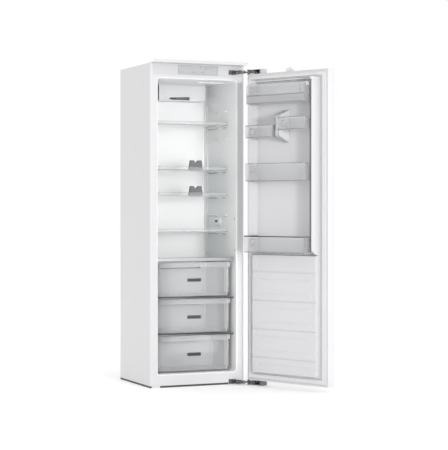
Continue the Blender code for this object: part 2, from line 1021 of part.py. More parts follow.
def hump_share(share):
    """Height of a grip's outline at a share of its width, as a share of its full height."""
    start, end = grip_top_shares
    across = min(share, 1 - share)
    if across < start:
        return across / start
    fall = max(across - end, 0) / (1 / 2 - end)
    return 1 - (1 - grip_dip_share) * (1 - math.cos(math.pi * fall)) / 2


def make_grip(index, surface, shelf):
    """Two-humped bottle rest on a shelf, a moulded shell with a closed front."""
    top = shelf_tops[index]
    low = top - trim_height + seat * 3 + glass
    near = front + grip_front
    rows = []
    for inset in (0, grip_sheet):
        row = []
        for i in range(grip_steps + 1):
            share = i / grip_steps
            x = grip_middle + (share - 0.5) * (grip_width - 2 * inset)
            rise = (top + grip_height - low - inset) * hump_share(share)
            row.append((x, low + rise if 0 < i < grip_steps else low - inset))
        rows.append(row)
    made = solid("grip", lambda bm: prism(bm, rows[0], near + trim_depth, near + grip_depth, "y"))
    cut(made, lambda bm: prism(bm, rows[1], near + trim_depth + grip_sheet,
                               near + grip_depth + over, "y"))
    finish(made, f"bottle_grip_{index}", surface)
    carry(made, shelf)
    return made


def make_cover_shelf(clear, surface):
    """Fixed glass over the top drawer with a metal profile along its front."""
    low = cover_top - cover_trim_height + seat
    near = front + cover_front
    side = shelf_half

    def pane(bm):
        box(bm, -side + trim_skin, side - trim_skin, near + trim_skin, front + shelf_back,
            low, low + glass)

    def trim(bm):
        box(bm, -side, side, near, near + trim_depth, low, cover_top)

    def groove(bm):
        box(bm, -side + trim_skin - seat, side - trim_skin + seat, near + trim_skin - seat,
            near + trim_depth + over, low - over, low + glass + seat)

    finish(solid("pane", pane), "cover_shelf_glass", clear)
    edge = solid("trim", trim)
    cut(edge, groove)
    finish(edge, "cover_shelf_profile", surface)


def make_divider(index, clear):
    """Fixed glass between two drawers."""
    top = divider_tops[index]
    side = shelf_half

    def pane(bm):
        box(bm, -side, side, front + cover_front, front + shelf_back, top - glass + seat, top)

    finish(solid("pane", pane), f"divider_{index + 1}", clear)


def floor_under_drawer():
    """Height of the drafted floor under the back end of the lowest drawer's runners."""
    straight = space_depth - rear_radius - mouth_radius
    back_end = hump_front - low_drawer_rear - drawer_radius - mouth_radius
    return opening_low + liner_draft * back_end / straight


def make_drawer(index, surface):
    """Open tub on runners, with a rolled rim that stands out in front as its handle."""
    top = drawer_tops[index]
    rest = (divider_tops[0], divider_tops[1], floor_under_drawer())[index] + seat
    low = rest + drawer_foot
    near = front + drawer_front
    far = front + (hump_front - low_drawer_rear if index == 2 else space_depth - drawer_rear)

    def rows(inset, high):
        made = []
        for z, taper in ((low + inset, drawer_taper), (high, 0)):
            side = drawer_half - inset - taper
            outline = rounded(-side, side, near + inset + taper / 2, far - inset - taper / 2,
                              drawer_radius - inset, drawer_lip - inset / 2)
            made.append([place(u, v, z, "z") for u, v in outline])
        return made

    made = solid("tub", lambda bm: skin(bm, rows(0, top), False))

    def rim(bm):
        side = drawer_half + drawer_lip
        outline = rounded(-side, side, near - drawer_grip, far + drawer_lip,
                          drawer_radius + drawer_lip, drawer_lip)
        prism(bm, outline, top - drawer_lip, top)

    def skirt(bm):
        side = drawer_half + drawer_lip
        bend = drawer_radius + drawer_lip
        outline = arc(side - bend, near - drawer_grip + bend, bend, 0, -1)
        outline += arc(bend - side, near - drawer_grip + bend, bend, 3, -1)
        prism(bm, outline, top - drawer_skirt, top - drawer_lip / 2)

    def under(bm):
        side = drawer_half + drawer_lip - drawer_wall
        outline = rounded(-side, side, near - drawer_grip + drawer_wall, far, drawer_radius,
                          drawer_lip)
        prism(bm, outline, top - drawer_skirt - over, top - drawer_lip)

    lip = solid("lip", rim)
    join(lip, skirt)
    cut(lip, under)
    use(made, lip, "UNION")
    cut(made, lambda bm: skin(bm, rows(drawer_wall, top + over), False))

    def runners(bm):
        for way in (-1, 1):
            x = way * (drawer_half - drawer_radius * 2)
            box(bm, x - drawer_lip, x + drawer_lip, near + drawer_radius, far - drawer_radius,
                rest, low + drawer_wall / 2)

    join(made, runners)
    finish(made, f"drawer_{index + 1}", surface)
    centre_on(made, (0, near, rest))
    return made


# Machine compartment

def bay_middle():
    """Middle of the compressor bay, front to back."""
    return (bay_plane + rear) / 2


def make_compressor(surface):
    y = bay_middle()
    tall = compressor_top - compressor_base
    shares = (0, 0.05, 0.16, 0.32, 0.47, 0.47, 0.53, 0.53, 0.68, 0.84, 0.95, 1)
    rows = []
    for i, share in enumerate(shares):
        bulge = math.sqrt(max(0, 1 - abs(2 * share - 1) ** 3)) * (1 - dome_share) + dome_share
        swell = seam_flange if i in (5, 6) else 0
        rows.append([Vector((compressor_x + (compressor_rx * bulge + swell) * math.cos(a),
                             y + (compressor_ry * bulge + swell) * math.sin(a),
                             compressor_base + tall * share))
                     for a in (math.tau * k / compressor_sides for k in range(compressor_sides))])
    made = solid("compressor", lambda bm: skin(bm, rows, False))

    def plate(bm):
        low = compressor_base + mount_plate
        outline = rounded(compressor_x - mount_length / 2, compressor_x + mount_length / 2,
                          y - mount_depth / 2, y + mount_depth / 2, rubber_radius)
        prism(bm, outline, low, low + mount_plate)

    join(made, plate)
    return finish(made, "compressor", surface)


def mount_corners():
    y = bay_middle()
    reach = mount_length / 2 - rubber_radius
    depth = mount_depth / 2 - rubber_radius
    return [(compressor_x + i * reach, y + j * depth) for i in (-1, 1) for j in (-1, 1)]


def make_carrier(surface):
    """Cross plate on the base with four soft posts under the compressor's plate."""
    y = bay_middle()
    low = base_thickness + seat

    def plate(bm):
        box(bm, compressor_x - mount_length / 2, compressor_x + mount_length / 2,
            y - mount_depth / 2, y + mount_depth / 2, low, low + mount_plate)

    made = solid("carrier", plate)
    for x, y in mount_corners():
        join(made, lambda bm, x=x, y=y: stand(bm, x, y, rubber_radius, low + mount_plate / 2,
                                              compressor_base + mount_plate - seat, 12))
    return finish(made, "compressor_mount", surface)


def make_terminal_box(surface):
    """Relay box against the compressor's left side."""
    y = bay_middle()
    near = compressor_x - compressor_rx - seam_flange - seat - terminal_width
    low = terminal_rise

    def build(bm):
        outline = rounded(near, near + terminal_width, y - terminal_depth / 2,
                          y + terminal_depth / 2, foot_radius)
        prism(bm, outline, low, low + terminal_height)

    return finish(solid("terminal", build), "terminal_box", surface)


def make_tray(surface):
    """Open water tray resting over the compressor."""
    y = bay_middle()
    low = compressor_top + seat
    rows = []
    for inset, z in ((0, low), (-tray_wall, low + tray_height)):
        outline = rounded(compressor_x - tray_length / 2 + inset, compressor_x + tray_length / 2
                          - inset, y - tray_depth / 2 + inset, y + tray_depth / 2 - inset,
                          rubber_radius)
        rows.append([place(u, v, z, "z") for u, v in outline])
    inner = []
    for inset, z in ((0, low + tray_height), (tray_wall, low + tray_wall)):
        outline = rounded(compressor_x - tray_length / 2 + inset, compressor_x + tray_length / 2
                          - inset, y - tray_depth / 2 + inset, y + tray_depth / 2 - inset,
                          rubber_radius - tray_wall)
        inner.append([place(u, v, z, "z") for u, v in outline])
    made = solid("tray", lambda bm: skin(bm, rows + inner, False))
    return finish(made, "evaporation_tray", surface)


def coil_y():
    return recess_plane + seat * 2 + back_sheet + coil_radius


def coil_path():
    """Up and down legs and the passes between them, with half-round ends."""
    y = coil_y()
    bend = coil_pitch / 2
    reach = coil_half - bend
    path = []
    for i in range(coil_passes):
        z = compressor_bay_height + coil_rise + i * coil_pitch
        way = 1 if i % 2 == 0 else -1
        path.append((-way * reach, y, z))
        path.append((way * reach, y, z))
        if i < coil_passes - 1:
            for k in range(1, arc_steps * 2):
                a = math.pi * k / (arc_steps * 2)
                path.append((way * (reach + bend * math.sin(a)), y, z + bend - bend * math.cos(a)))
    return path


def make_condenser(surface):
    """Condenser tube, its two ends brought down into the compressor bay."""
    y = coil_y()
    path = coil_path()
    first = path[0]
    bend = coil_pitch / arc_steps
    foot = compressor_bay_height - coil_pitch / 2
    lead = [(first[0] - bend, y, foot), (first[0] - bend, y, first[2] - bend), ]
    last = path[-1]
    edge = coil_half + rear_return / 2 - coil_radius
    way = 1 if last[0] > 0 else -1
    tail = [(way * (edge - bend), y, last[2]), (way * edge, y, last[2] - bend),
            (way * edge, y, foot)]
    made = solid("coil", lambda bm: tube(bm, lead + path + tail, coil_radius, coil_sides))
    return finish(made, "condenser", surface)


def make_gland(surface):
    """Inlet block for the mains lead, its bore open to the rear."""
    far = rear - foot_radius
    low = base_thickness + seat
    middle = low + gland_height / 2
    x = gland_inset - half

    def build(bm):
        outline = rounded(x - gland_width / 2, x + gland_width / 2,
                          far - gland_depth, far, foot_radius)
        prism(bm, outline, low, low + gland_height)

    def bore(bm):
        prism(bm, disc(x, middle, gland_bore, 16), far - gland_depth + foot_radius, far + over, "y")

    made = solid("gland", build)
    cut(made, bore)
    return finish(made, "mains_inlet", surface)


# Door

def door_box(bm, s0, s1, off0, off1, z0, z1):
    """Block in the door: s from its hinge edge, off towards the food space."""
    box(bm, half - s1, half - s0, door_face + off0, door_face + off1, z0, z1)


def door_taper(bm, foot, crest, off0, off1):
    """Block whose outline shrinks from foot to crest; each is s0, s1, z0, z1."""
    rows = []
    for (s0, s1, z0, z1), off in ((foot, off0), (crest, off1)):
        outline = [(half - s1, z0), (half - s0, z0), (half - s0, z1), (half - s1, z1)]
        rows.append([place(u, v, door_face + off, "y") for u, v in outline])
    skin(bm, rows, False)


def dike_feet():
    """The two side walls, hinge side first."""
    far = cabinet_width - dike_inset
    return ((dike_inset, dike_inset + dike_foot), (far - dike_foot, far))


def raised_forms(bm, shrink, root):
    """Side walls, top wall, fin and lower plateau of the door's inner face."""
    lean = (dike_foot - dike_crest) / 2
    deep = over
    dike_low = plateau_high - dike_sink
    for s0, s1 in dike_feet():
        foot = (s0 + shrink, s1 - shrink, dike_low + shrink, dike_high - shrink)
        crest = (s0 + lean + shrink, s1 - lean - shrink, dike_low + deep * 2 + shrink,
                 dike_high - lean - shrink)
        door_taper(bm, foot, crest, root, dike_height - shrink)


def top_wall(bm, shrink, root):
    lean = (dike_foot - dike_crest) / 2
    low = dike_high - top_dike_width
    side = dike_inset + dike_foot / 2
    foot = (side, cabinet_width - side, low + shrink, dike_high - shrink)
    crest = (side, cabinet_width - side, low + lean / 2 + shrink, dike_high - lean - shrink)
    door_taper(bm, foot, crest, root, top_dike_height - shrink)


def fin(bm, shrink, root):
    foot = (fin_near + shrink, fin_far - shrink, fin_low + shrink, fin_high - shrink)
    crest = (fin_near + fin_draft + shrink, fin_far - fin_draft - shrink,
             fin_low + fin_slope + shrink, fin_high - fin_slope - shrink)
    door_taper(bm, foot, crest, root, fin_height - shrink)


def plateau(bm, shrink, root):
    far = cabinet_width - dike_inset
    foot = (dike_inset + shrink, far - shrink, plateau_low + shrink, plateau_high - shrink)
    crest = (dike_inset + plateau_draft + shrink, far - plateau_draft - shrink,
             plateau_low + plateau_draft + shrink, plateau_high - plateau_draft - shrink)
    door_taper(bm, foot, crest, root, plateau_height - shrink)


def groove_heights():
    return [part_way(plateau_low, plateau_high, share) for share in groove_shares]


def door_form(shrink, root):
    """The door's inner face as a body, shrunk by a wall's thickness."""
    made = solid("form", lambda bm: plateau(bm, shrink, root))
    for build in (raised_forms, top_wall, fin):
        join(made, lambda bm, build=build: build(bm, shrink, root))

    def grooves(bm):
        for z in groove_heights():
            door_box(bm, 0, cabinet_width, plateau_height - groove_depth - shrink,
                     plateau_height + over, z - groove_width / 2 - shrink,
                     z + groove_width / 2 + shrink)

    cut(made, grooves)
    return made


def make_door_liner(surface):
    edge = door_sheet + seat

    def slab(bm):
        door_box(bm, edge, cabinet_width - edge, -liner_wall, 0, door_low + edge,
                 door_high - edge)

    made = solid("slab", slab)
    use(made, door_form(0, -liner_wall / 2), "UNION")
    use(made, door_form(liner_wall, -over), "DIFFERENCE")

    def ribs(bm):
        for i in range(rib_count):
            z = plateau_high - rib_drop - i * rib_pitch
            if min(abs(z - groove) for groove in groove_heights()) > groove_width + rib_width:
                door_box(bm, rib_inset, cabinet_width - rib_end, plateau_height - bite,
                         plateau_height + rib_proud, z - rib_width / 2, z + rib_width / 2)

    join(made, ribs)

    def bosses(bm):
        for s0, s1, top, _ in boss_places():
            door_box(bm, s0, s1, boss_back, boss_front, top - boss_height, top)

    join(made, bosses)
    return finish(made, "door_liner", surface)


def rack_span(kind):
    """Ends of a rack between the side walls, or between a side wall and the fin."""
    near = dike_inset + dike_foot + rack_gap
    far = cabinet_width - near
    if kind == "left":
        return near, fin_near - rack_gap
    if kind == "right":
        return fin_far + rack_gap, far
    return near, far


def boss_places():
    """s range, top and rack of each post that a rack hangs on."""
    places = []
    for name, kind, low, high in rack_list():
        near, far = rack_span(kind)
        top = high - boss_drop
        for s, way in ((near, -1), (far, 1)):
            tip = s - way * boss_reach
            root = s + way * boss_root
            places.append((min(tip, root), max(tip, root), top, name))
    return places


def rack_list():
    return (("dairy_rack", "full", dairy_low, dairy_front_high),
            ("left_rack", "left", *left_rack),
            ("right_rack", "right", *right_rack),
            ("middle_rack", "full", *middle_rack),
            ("bottle_rack", "full", bottle_rack[0], bottle_rack[1] - rail_height))


def make_door_panel(surface):
    def block(bm):
        door_box(bm, 0, cabinet_width, -door_thickness, 0, door_low, door_high)

    def hollow(bm):
        sheet = door_sheet
        door_box(bm, sheet, cabinet_width - sheet, sheet - door_thickness, over,
                 door_low + sheet, door_high - sheet)

    made = solid("pan", block)
    cut(made, hollow)
    return finish(made, "door_outer_panel", surface)


def make_door_foam(surface):
    edge = door_sheet + seat

    def slab(bm):
        door_box(bm, edge, cabinet_width - edge, edge - door_thickness, -liner_wall - seat,
                 door_low + edge, door_high - edge)

    made = solid("slab", slab)
    use(made, door_form(liner_wall + seat, -over), "UNION")
    return finish(made, "door_foam", surface, smooth=False)


def make_gasket(surface):
    """Soft frame pressed on the cabinet's face when the door is shut."""
    high = door_gap - gasket_clear

    def ring(bm, outer, inner, off0, off1):
        rows = []
        for inset, off in ((outer, off0), (outer, off1), (inner, off1), (inner, off0)):
            outline = [(half - cabinet_width + inset, door_low + inset), (half - inset, door_low
                       + inset), (half - inset, door_high - inset),
                       (half - cabinet_width + inset, door_high - inset)]
            rows.append([place(u, v, door_face + off, "y") for u, v in outline])
        skin(bm, rows, True)

    made = solid("gasket", lambda bm: ring(bm, gasket_outer, gasket_inner, seat, high / 2))
    shift = (gasket_inner - gasket_outer) / arc_steps
    join(made, lambda bm: ring(bm, gasket_outer + shift, gasket_inner - shift, high / 2 - bite,
                               high))
    return finish(made, "door_gasket", surface)


def make_bracket(surface):
    """Fitting on the door's top end that holds the furniture panel."""
    s0 = half - bracket_shift
    s1 = s0 + bracket_length
    low = door_high + seat

    def body(bm):
        door_box(bm, s0, s1, -bracket_off - bracket_depth, -bracket_off, low, low + bracket_height)

    def tail(bm):
        inset = bracket_depth / arc_steps
        door_box(bm, s1 - bite, s1 + bracket_tail, -bracket_off - bracket_depth + inset,
                 -bracket_off - inset, low, low + bracket_height / 2)

    made = solid("bracket", body)
    join(made, tail)
    return finish(made, "panel_bracket", surface)


# Door racks

def rack_rows(near, far, low, high, back, reach, inset, open_top):
    rows = []
    for z, taper in ((low + inset, rack_taper), (high, 0)):
        side0 = half - far + inset
        side1 = half - near - inset
        face = door_face + reach - inset - taper
        wall = door_face + back + inset
        bend = rack_radius - inset
        points = [(side0, wall), (side1, wall)]
        points += arc(side1 - bend, face - bend, bend, 0, 1)
        points += arc(side0 + bend, face - bend, bend, 1, 1)
        rows.append([place(u, v, z, "z") for u, v in points])
    if open_top:
        rows.append([Vector((point.x, point.y, high + over)) for point in rows[-1]])
    return rows


def make_rack(name, kind, low, high, reach, surface):
    """Open tray hung between two walls, its ends slotted over the posts."""
    near, far = rack_span(kind)
    place_at = ((near + far) / 2, door_face, low)
    made = solid(name, lambda bm: skin(bm, rack_rows(near, far, low, high, rack_back, reach,
                                                     0, False), False))
    cut(made, lambda bm: skin(bm, rack_rows(near, far, low, high, rack_back, reach,
                                            rack_wall, True), False))

    def slots(bm):
        top = high - boss_drop + slot_clear
        foot = top - boss_height - rack_lift - slot_clear * 2
        for s in (near, far):
            door_box(bm, s - rack_wall * 2, s + rack_wall * 2, boss_back - slot_clear,
                     boss_front + slot_clear, foot, top)

    cut(made, slots)
    return made, place_at


def on_door(piece, name, surface, door, joint_at=None):
    """Finish a piece drawn with the door shut and hang it on the door, or on a joint there."""
    finish(piece, name, surface)
    origin = shut_pivot() if joint_at is None else Vector(joint_at)
    hang(piece, door, origin)
    piece.location = origin - shut_pivot()
    return piece


def make_lid():
    """Bent cover over the dairy rack, turning on pins in the rack's ends."""
    near, far = rack_span("full")
    side0 = half - far + rack_wall + lid_clear
    side1 = half - near - rack_wall - lid_clear
    face = door_face + dairy_depth
    low = dairy_front_high + lid_clear
    top = dairy_high
    wall = door_face + lid_back
    bend = lid_bend
    outline = [(face, low)] + arc(face - bend, top - bend, bend, 0, 1) + [(wall, top)]
    inner = [(wall, top - lid_sheet)]
    inner += arc(face - bend, top - bend, bend - lid_sheet, 1, -1)
    inner += [(face - lid_sheet, low)]
    made = solid("lid", lambda bm: prism(bm, outline + inner, side0, side1, "x"))

    def cheeks(bm):
        y = door_face + pivot_off
        drop = pivot_radius * 2
        shape = [(y - drop, pivot_high - drop), (y + drop, pivot_high - drop)]
        shape += [(y + drop * 2, top - lid_sheet / 2), (y - drop * 2, top - lid_sheet / 2)]
        for x in (side0, side1 - lid_cheek):
            prism(bm, shape, x, x + lid_cheek, "x")

    join(made, cheeks)

    def pins(bm):
        y = door_face + pivot_off
        for x0, x1 in ((side0 - lid_clear - rack_wall / 2, side0 + lid_cheek / 2),
                       (side1 - lid_cheek / 2, side1 + lid_clear + rack_wall / 2)):
            shaft(bm, y, pivot_high, pivot_radius, x0, x1, pin_sides)

    join(made, pins)
    return made


def dairy_ends(made):
    """Raise the dairy rack's ends round the lid's pins."""
    near, far = rack_span("full")

    def ends(bm):
        y0 = door_face + rack_back
        y1 = door_face + dairy_depth - rack_radius
        outline = [(y0, dairy_front_high - bite), (y1, dairy_front_high - bite)]
        outline += arc(y1 - rack_radius, dairy_high - rack_radius, rack_radius, 0, 1)
        outline += [(y0 + rack_radius, dairy_high), (y0, dairy_high - rack_radius)]
        for s in (near, far - rack_wall):
            prism(bm, outline, half - s - rack_wall, half - s, "x")

    join(made, ends)

    def holes(bm):
        for s in (near, far):
            shaft(bm, door_face + pivot_off, pivot_high, pivot_radius + pin_clear,
                  half - s - rack_wall * 1.5, half - s + rack_wall * 1.5, pin_sides)

    cut(made, holes)


def make_rail():
    """Metal band round the bottle rack's top edge."""
    near, far = rack_span("full")
    low = bottle_rack[1] - rail_height + seat

    def build(bm):
        skin(bm, rack_rows(near, far, low, bottle_rack[1], rack_back, bottle_depth, 0, False),
             False)

    def hollow(bm):
        skin(bm, rack_rows(near, far, low - over, bottle_rack[1], rack_back - over, bottle_depth,
                           rail_sheet * 2, True), False)

    made = solid("rail", build)
    cut(made, hollow)
    return made


# Hinge

def shut_pivot():
    """Door pivot with the door shut."""
    return Vector((half - door_pivot_inset, door_face - door_pivot_off, 0))


def swing_centre():
    """Point that the whole opening movement turns about."""
    shut = Vector((half, door_face))
    opened = Vector((half - open_edge_x, front - open_edge_y))
    step = opened - shut
    middle = (shut + opened) / 2
    return middle + Vector((-step.y, step.x)) / (2 * math.tan(open_angle / 2))


def turned(point, centre, angle):
    way = point - centre
    return centre + Vector((way.x * math.cos(angle) - way.y * math.sin(angle),
                            way.x * math.sin(angle) + way.y * math.cos(angle)))


def open_pivot():
    flat = shut_pivot().to_2d()
    return turned(flat, swing_centre(), open_angle)


def cabinet_pivot():
    """Equally far from the door pivot's shut and open places."""
    centre = swing_centre()
    middle = (shut_pivot().to_2d() + open_pivot()) / 2
    return centre + (middle - centre).normalized() * arm_reach


def heights(level, low, high):
    """Heights above the door's top end or below its bottom end."""
    if level == "upper":
        return door_high + low, door_high + high
    return door_low - high, door_low - low


def cabinet_leaf(level):
    """Leaf screwed to the cabinet's face, with an arm of two plates that hold the link."""
    a = cabinet_pivot()
    z0, z1 = heights(level, leaf_drop, leaf_high)
    layers = [heights(level, low, low + plate_thickness) for low in
              (plate_low, link_high + layer_gap)]
    right = leaf_left + leaf_width

    def leaf(bm):
        box(bm, leaf_left, right, front - seat - leaf_sheet, front - seat, z0, z1)

    def plates(bm):
        root = (right - arm_radius, front - seat - arm_radius)
        for low, high in layers:
            prism(bm, capsule(root, a, arm_radius, arm_radius), low, high)

    def heel(bm):
        low, high = heights(level, plate_low, arm_high)
        box(bm, right - arm_radius * 2, right, front - seat - arm_radius,
            front - seat - leaf_sheet / 2, low, high)

    def hole(bm):
        low, high = heights(level, 0, leaf_high)
        stand(bm, a.x, a.y, pin_radius + pin_clear, low, high, pin_sides)

    made = solid("leaf", leaf)
    for step in (plates, heel):
        join(made, step)
    cut(made, hole)
    return made


def hinge_link(level):
    """Link with the pin of its cabinet end; the door's pin stands in the door leaf."""
    a = cabinet_pivot()
    b = open_pivot()
    low, high = heights(level, link_low, link_high)
    made = solid("link", lambda bm: prism(bm, capsule(a, b, arm_radius, eye_radius), low, high))

    def hole(bm):
        z0, z1 = heights(level, 0, leaf_high)
        stand(bm, b.x, b.y, pin_radius + pin_clear, z0, z1, pin_sides)

    def pin(bm):
        z0, z1 = heights(level, plate_low + layer_gap, arm_high + layer_gap + bite / 2)
        stand(bm, a.x, a.y, pin_radius, z0, z1, pin_sides)

    def head(bm):
        z0, z1 = heights(level, arm_high + layer_gap, arm_high + layer_gap + head_height)
        stand(bm, a.x, a.y, head_radius, z0, z1, pin_sides)

    cut(made, hole)
    for step in (pin, head):
        join(made, step)
    return made


def door_leaf(level):
    """Channel on the door's end, open towards the cabinet, with the pin of the link."""
    b = shut_pivot()
    outer = -block_front - block_width

    def plate(low, high):
        z0, z1 = heights(level, low, high)

        def flat(bm):
            door_box(bm, block_front, block_length, outer, -block_front, z0, z1)

        def eye(bm):
            root = (half - block_front - block_wall, door_face - block_front - eye_radius)
            prism(bm, capsule((b.x, b.y), root, eye_radius, eye_radius - layer_gap), z0, z1)

        made = solid("plate", flat)
        join(made, eye)
        return made

    def back(bm):
        z0, z1 = heights(level, tray_low - bite, tray_high + bite)
        door_box(bm, block_front, block_length, outer, outer + block_wall, z0, z1)

    def block(bm):
        z0, z1 = heights(level, tray_low - bite, tray_high + bite)
        door_box(bm, block_near, block_length, outer + block_wall / 2, -block_front, z0, z1)

    def spacers(bm):
        for low, high in ((tray_low - bite, link_low - layer_gap),
                          (link_high + layer_gap, tray_high + bite)):
            z0, z1 = heights(level, low, high)
            stand(bm, b.x, b.y, spacer_radius, z0, z1, pin_sides)

    def pin(bm):
        z0, z1 = heights(level, tray_low - bite * 2, tray_high + bite * 2)
        stand(bm, b.x, b.y, pin_radius, z0, z1, pin_sides)

    made = plate(seat, tray_low)
    use(made, plate(tray_high, leaf_high), "UNION")
    for step in (back, block, spacers, pin):
        join(made, step)
    return made


def build_all():
    clear_scene()
    white = material("white_steel", (0.80, 0.81, 0.82), 0.35)
    shell = material("liner_plastic", (0.84, 0.85, 0.86), 0.30)
    foam = material("foam", (0.75, 0.68, 0.50), 0.90)
    dark = material("dark_plastic", (0.10, 0.10, 0.11), 0.55)
    grey = material("grey_plastic", (0.45, 0.46, 0.47), 0.50)
    pale = material("pale_plastic", (0.70, 0.71, 0.72), 0.45)
    steel = material("zinc_steel", (0.55, 0.56, 0.58), 0.40, 1.0)
    hinge = material("hinge_steel", (0.30, 0.30, 0.31), 0.45, 1.0)
    silver = material("brushed_metal", (0.72, 0.72, 0.72), 0.30, 1.0)
    pane = material("clear_glass", (0.80, 0.88, 0.86), 0.05, 0.0, 0.35)
    clear = material("clear_plastic", (0.88, 0.90, 0.92), 0.12, 0.0, 0.45)
    soft = material("gasket_rubber", (0.78, 0.78, 0.79), 0.60)
    black = material("black_paint", (0.03, 0.03, 0.03), 0.50)
    board = material("circuit_board", (0.10, 0.28, 0.14), 0.50)

    make_casing(white)
    make_base(dark)
    for left, name in zip(foot_lefts(), ("front_foot_left", "front_foot_right")):
        make_foot(left, name, pale)
    make_foam(foam)
    make_liner(shell)
    make_back_panel(steel)
    make_strip(white)
    make_fascia(shell)
    make_panel(pale)
    make_board(board)
    for i in range(len(key_places)):
        make_key(i, grey)
    make_evaporator(silver)
    make_fan_housing(shell)
    make_wheel(dark)
    make_fan_motor(dark)
    make_sensor(pale)
    make_cover_shelf(pane, silver)
    for i in range(len(divider_tops)):
        make_divider(i, pane)
    for i in range(len(shelf_tops)):
        shelf = make_shelf(i, pane, pale)
        if i in (1, 2):
            make_grip(i, grey, shelf)
    for i in range(len(drawer_tops)):
        make_drawer(i, clear)
    make_compressor(black)
    make_carrier(dark)
    make_terminal_box(black)
    make_tray(black)
    make_condenser(black)
    make_gland(dark)

    levels = ("upper", "lower")
    a = cabinet_pivot()
    for level in levels:
        finish(cabinet_leaf(level), f"hinge_leaf_{level}", hinge)
        link = finish(hinge_link(level), f"hinge_link_{level}", hinge)
        centre_on(link, (a.x, a.y, 0))
    b = open_pivot()
    door = joint_empty("door_joint", (b.x, b.y, 0), open_angle)
    on_door(make_door_panel(white), "door_outer_panel", white, door)
    on_door(make_door_foam(foam), "door_foam", foam, door)
    on_door(make_door_liner(shell), "door_liner", shell, door)
    on_door(make_gasket(soft), "door_gasket", soft, door)
    on_door(make_bracket(pale), "panel_bracket", pale, door)
    for level in levels:
        on_door(door_leaf(level), f"hinge_door_leaf_{level}", hinge, door)
    for name, kind, low, high in rack_list():
        reach = {"dairy_rack": dairy_depth, "bottle_rack": bottle_depth}.get(name, rack_depth)
        piece, _ = make_rack(name, kind, low, high, reach, clear)
        if name == "dairy_rack":
            dairy_ends(piece)
        near, far = rack_span(kind)
        middle = half - (near + far) / 2
        on_door(piece, name, clear, door, (middle, door_face, low))
        if name == "bottle_rack":
            on_door(make_rail(), "bottle_rail", silver, door)
        if name == "dairy_rack":
            pivot = (middle, door_face + pivot_off, pivot_high)
            on_door(make_lid(), "dairy_lid", clear, door, pivot)


build_all()
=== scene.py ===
# %% [markdown]
# A built-in larder refrigerator with its door open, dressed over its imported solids.
# The solids already have their shapes and joints, so this file adds finishes and the small
# pieces that the solids leave out, each of them fixed to the body that carries it.

# %% Load the frame
import math

import bmesh
import bpy
from mathutils import Matrix, Vector


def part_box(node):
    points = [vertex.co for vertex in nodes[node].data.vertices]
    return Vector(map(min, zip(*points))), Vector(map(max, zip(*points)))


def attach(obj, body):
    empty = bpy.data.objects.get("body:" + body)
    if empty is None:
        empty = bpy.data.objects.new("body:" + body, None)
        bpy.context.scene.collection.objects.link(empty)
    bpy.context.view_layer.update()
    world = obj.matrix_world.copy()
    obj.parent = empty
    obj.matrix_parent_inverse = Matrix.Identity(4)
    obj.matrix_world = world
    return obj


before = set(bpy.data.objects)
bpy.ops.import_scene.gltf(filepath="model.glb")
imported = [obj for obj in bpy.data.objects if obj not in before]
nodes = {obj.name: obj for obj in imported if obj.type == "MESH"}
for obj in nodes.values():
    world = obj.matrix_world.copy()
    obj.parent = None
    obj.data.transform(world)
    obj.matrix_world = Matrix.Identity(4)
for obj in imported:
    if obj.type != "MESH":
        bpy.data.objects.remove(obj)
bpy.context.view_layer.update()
scene = bpy.context.scene
add_object = scene.collection.objects.link

# %% [markdown]
# The camera comes first, because every later choice is judged through it. The photograph is a
# level view from the left front with a long lens, so the verticals stay upright, and a small
# shift lifts the horizon as the photograph has it.

# %% Camera
camera_data = bpy.data.cameras.new("camera")
camera_data.lens = 118.28
camera_data.sensor_width = 36.0
camera_data.shift_y = -0.0375
camera_data.clip_end = 60.0
camera = bpy.data.objects.new("camera", camera_data)
camera.location = (-3.155, -7.745, 0.979)
camera.rotation_euler = (math.radians(90), 0, math.radians(-23.82))
add_object(camera)
scene.camera = camera
print("camera at", tuple(camera.location))

# %% [markdown]
# The product stands in a white studio. One wide plane makes the floor and the world gives an
# even white; the floor glows slightly, as a lit studio sweep does. The strongest light stands
# straight in front: it reaches the rear wall, leaves the side walls grey, and lets the door's
# raised side cast a soft shadow over the recess beside it. A weak soft panel just inside the
# opening stands for the ceiling lamp's light, which the white liner spreads over the rear wall.
# A narrow strip light, also in front, lights the faces of the door's raised walls.


# %% Floor, world and lights
def soft_light(name, place, target, size, power):
    data = bpy.data.lights.new(name, "AREA")
    data.shape = "SQUARE"
    data.size = size
    data.energy = power
    lamp = bpy.data.objects.new(name, data)
    lamp.location = place
    way = Vector(target) - Vector(place)
    lamp.rotation_euler = way.to_track_quat("-Z", "Y").to_euler()
    add_object(lamp)
    return lamp


def hidden_panel(name, place, target, width, height, power, spread):
    """Upright panel that lights the product and is itself neither seen nor mirrored."""
    lamp = soft_light(name, place, target, width, power)
    lamp.data.shape = "RECTANGLE"
    lamp.data.size_y = height
    lamp.data.spread = math.radians(spread)
    lamp.visible_camera = False
    lamp.visible_glossy = False


floor_size = 30.0
bm = bmesh.new()
bmesh.ops.create_grid(bm, x_segments=1, y_segments=1, size=floor_size)
floor_mesh = bpy.data.meshes.new("studio_floor")
bm.to_mesh(floor_mesh)
bm.free()
floor = bpy.data.objects.new("studio_floor", floor_mesh)
add_object(floor)
floor_finish = bpy.data.materials.new("studio_floor")
floor_finish.use_nodes = True
floor_shader = floor_finish.node_tree.nodes["Principled BSDF"]
floor_shader.inputs["Base Color"].default_value = (0.93, 0.93, 0.93, 1)
floor_shader.inputs["Roughness"].default_value = 0.9
floor_shader.inputs["Emission Color"].default_value = (1, 1, 1, 1)
floor_shader.inputs["Emission Strength"].default_value = 0.14
floor_mesh.materials.append(floor_finish)

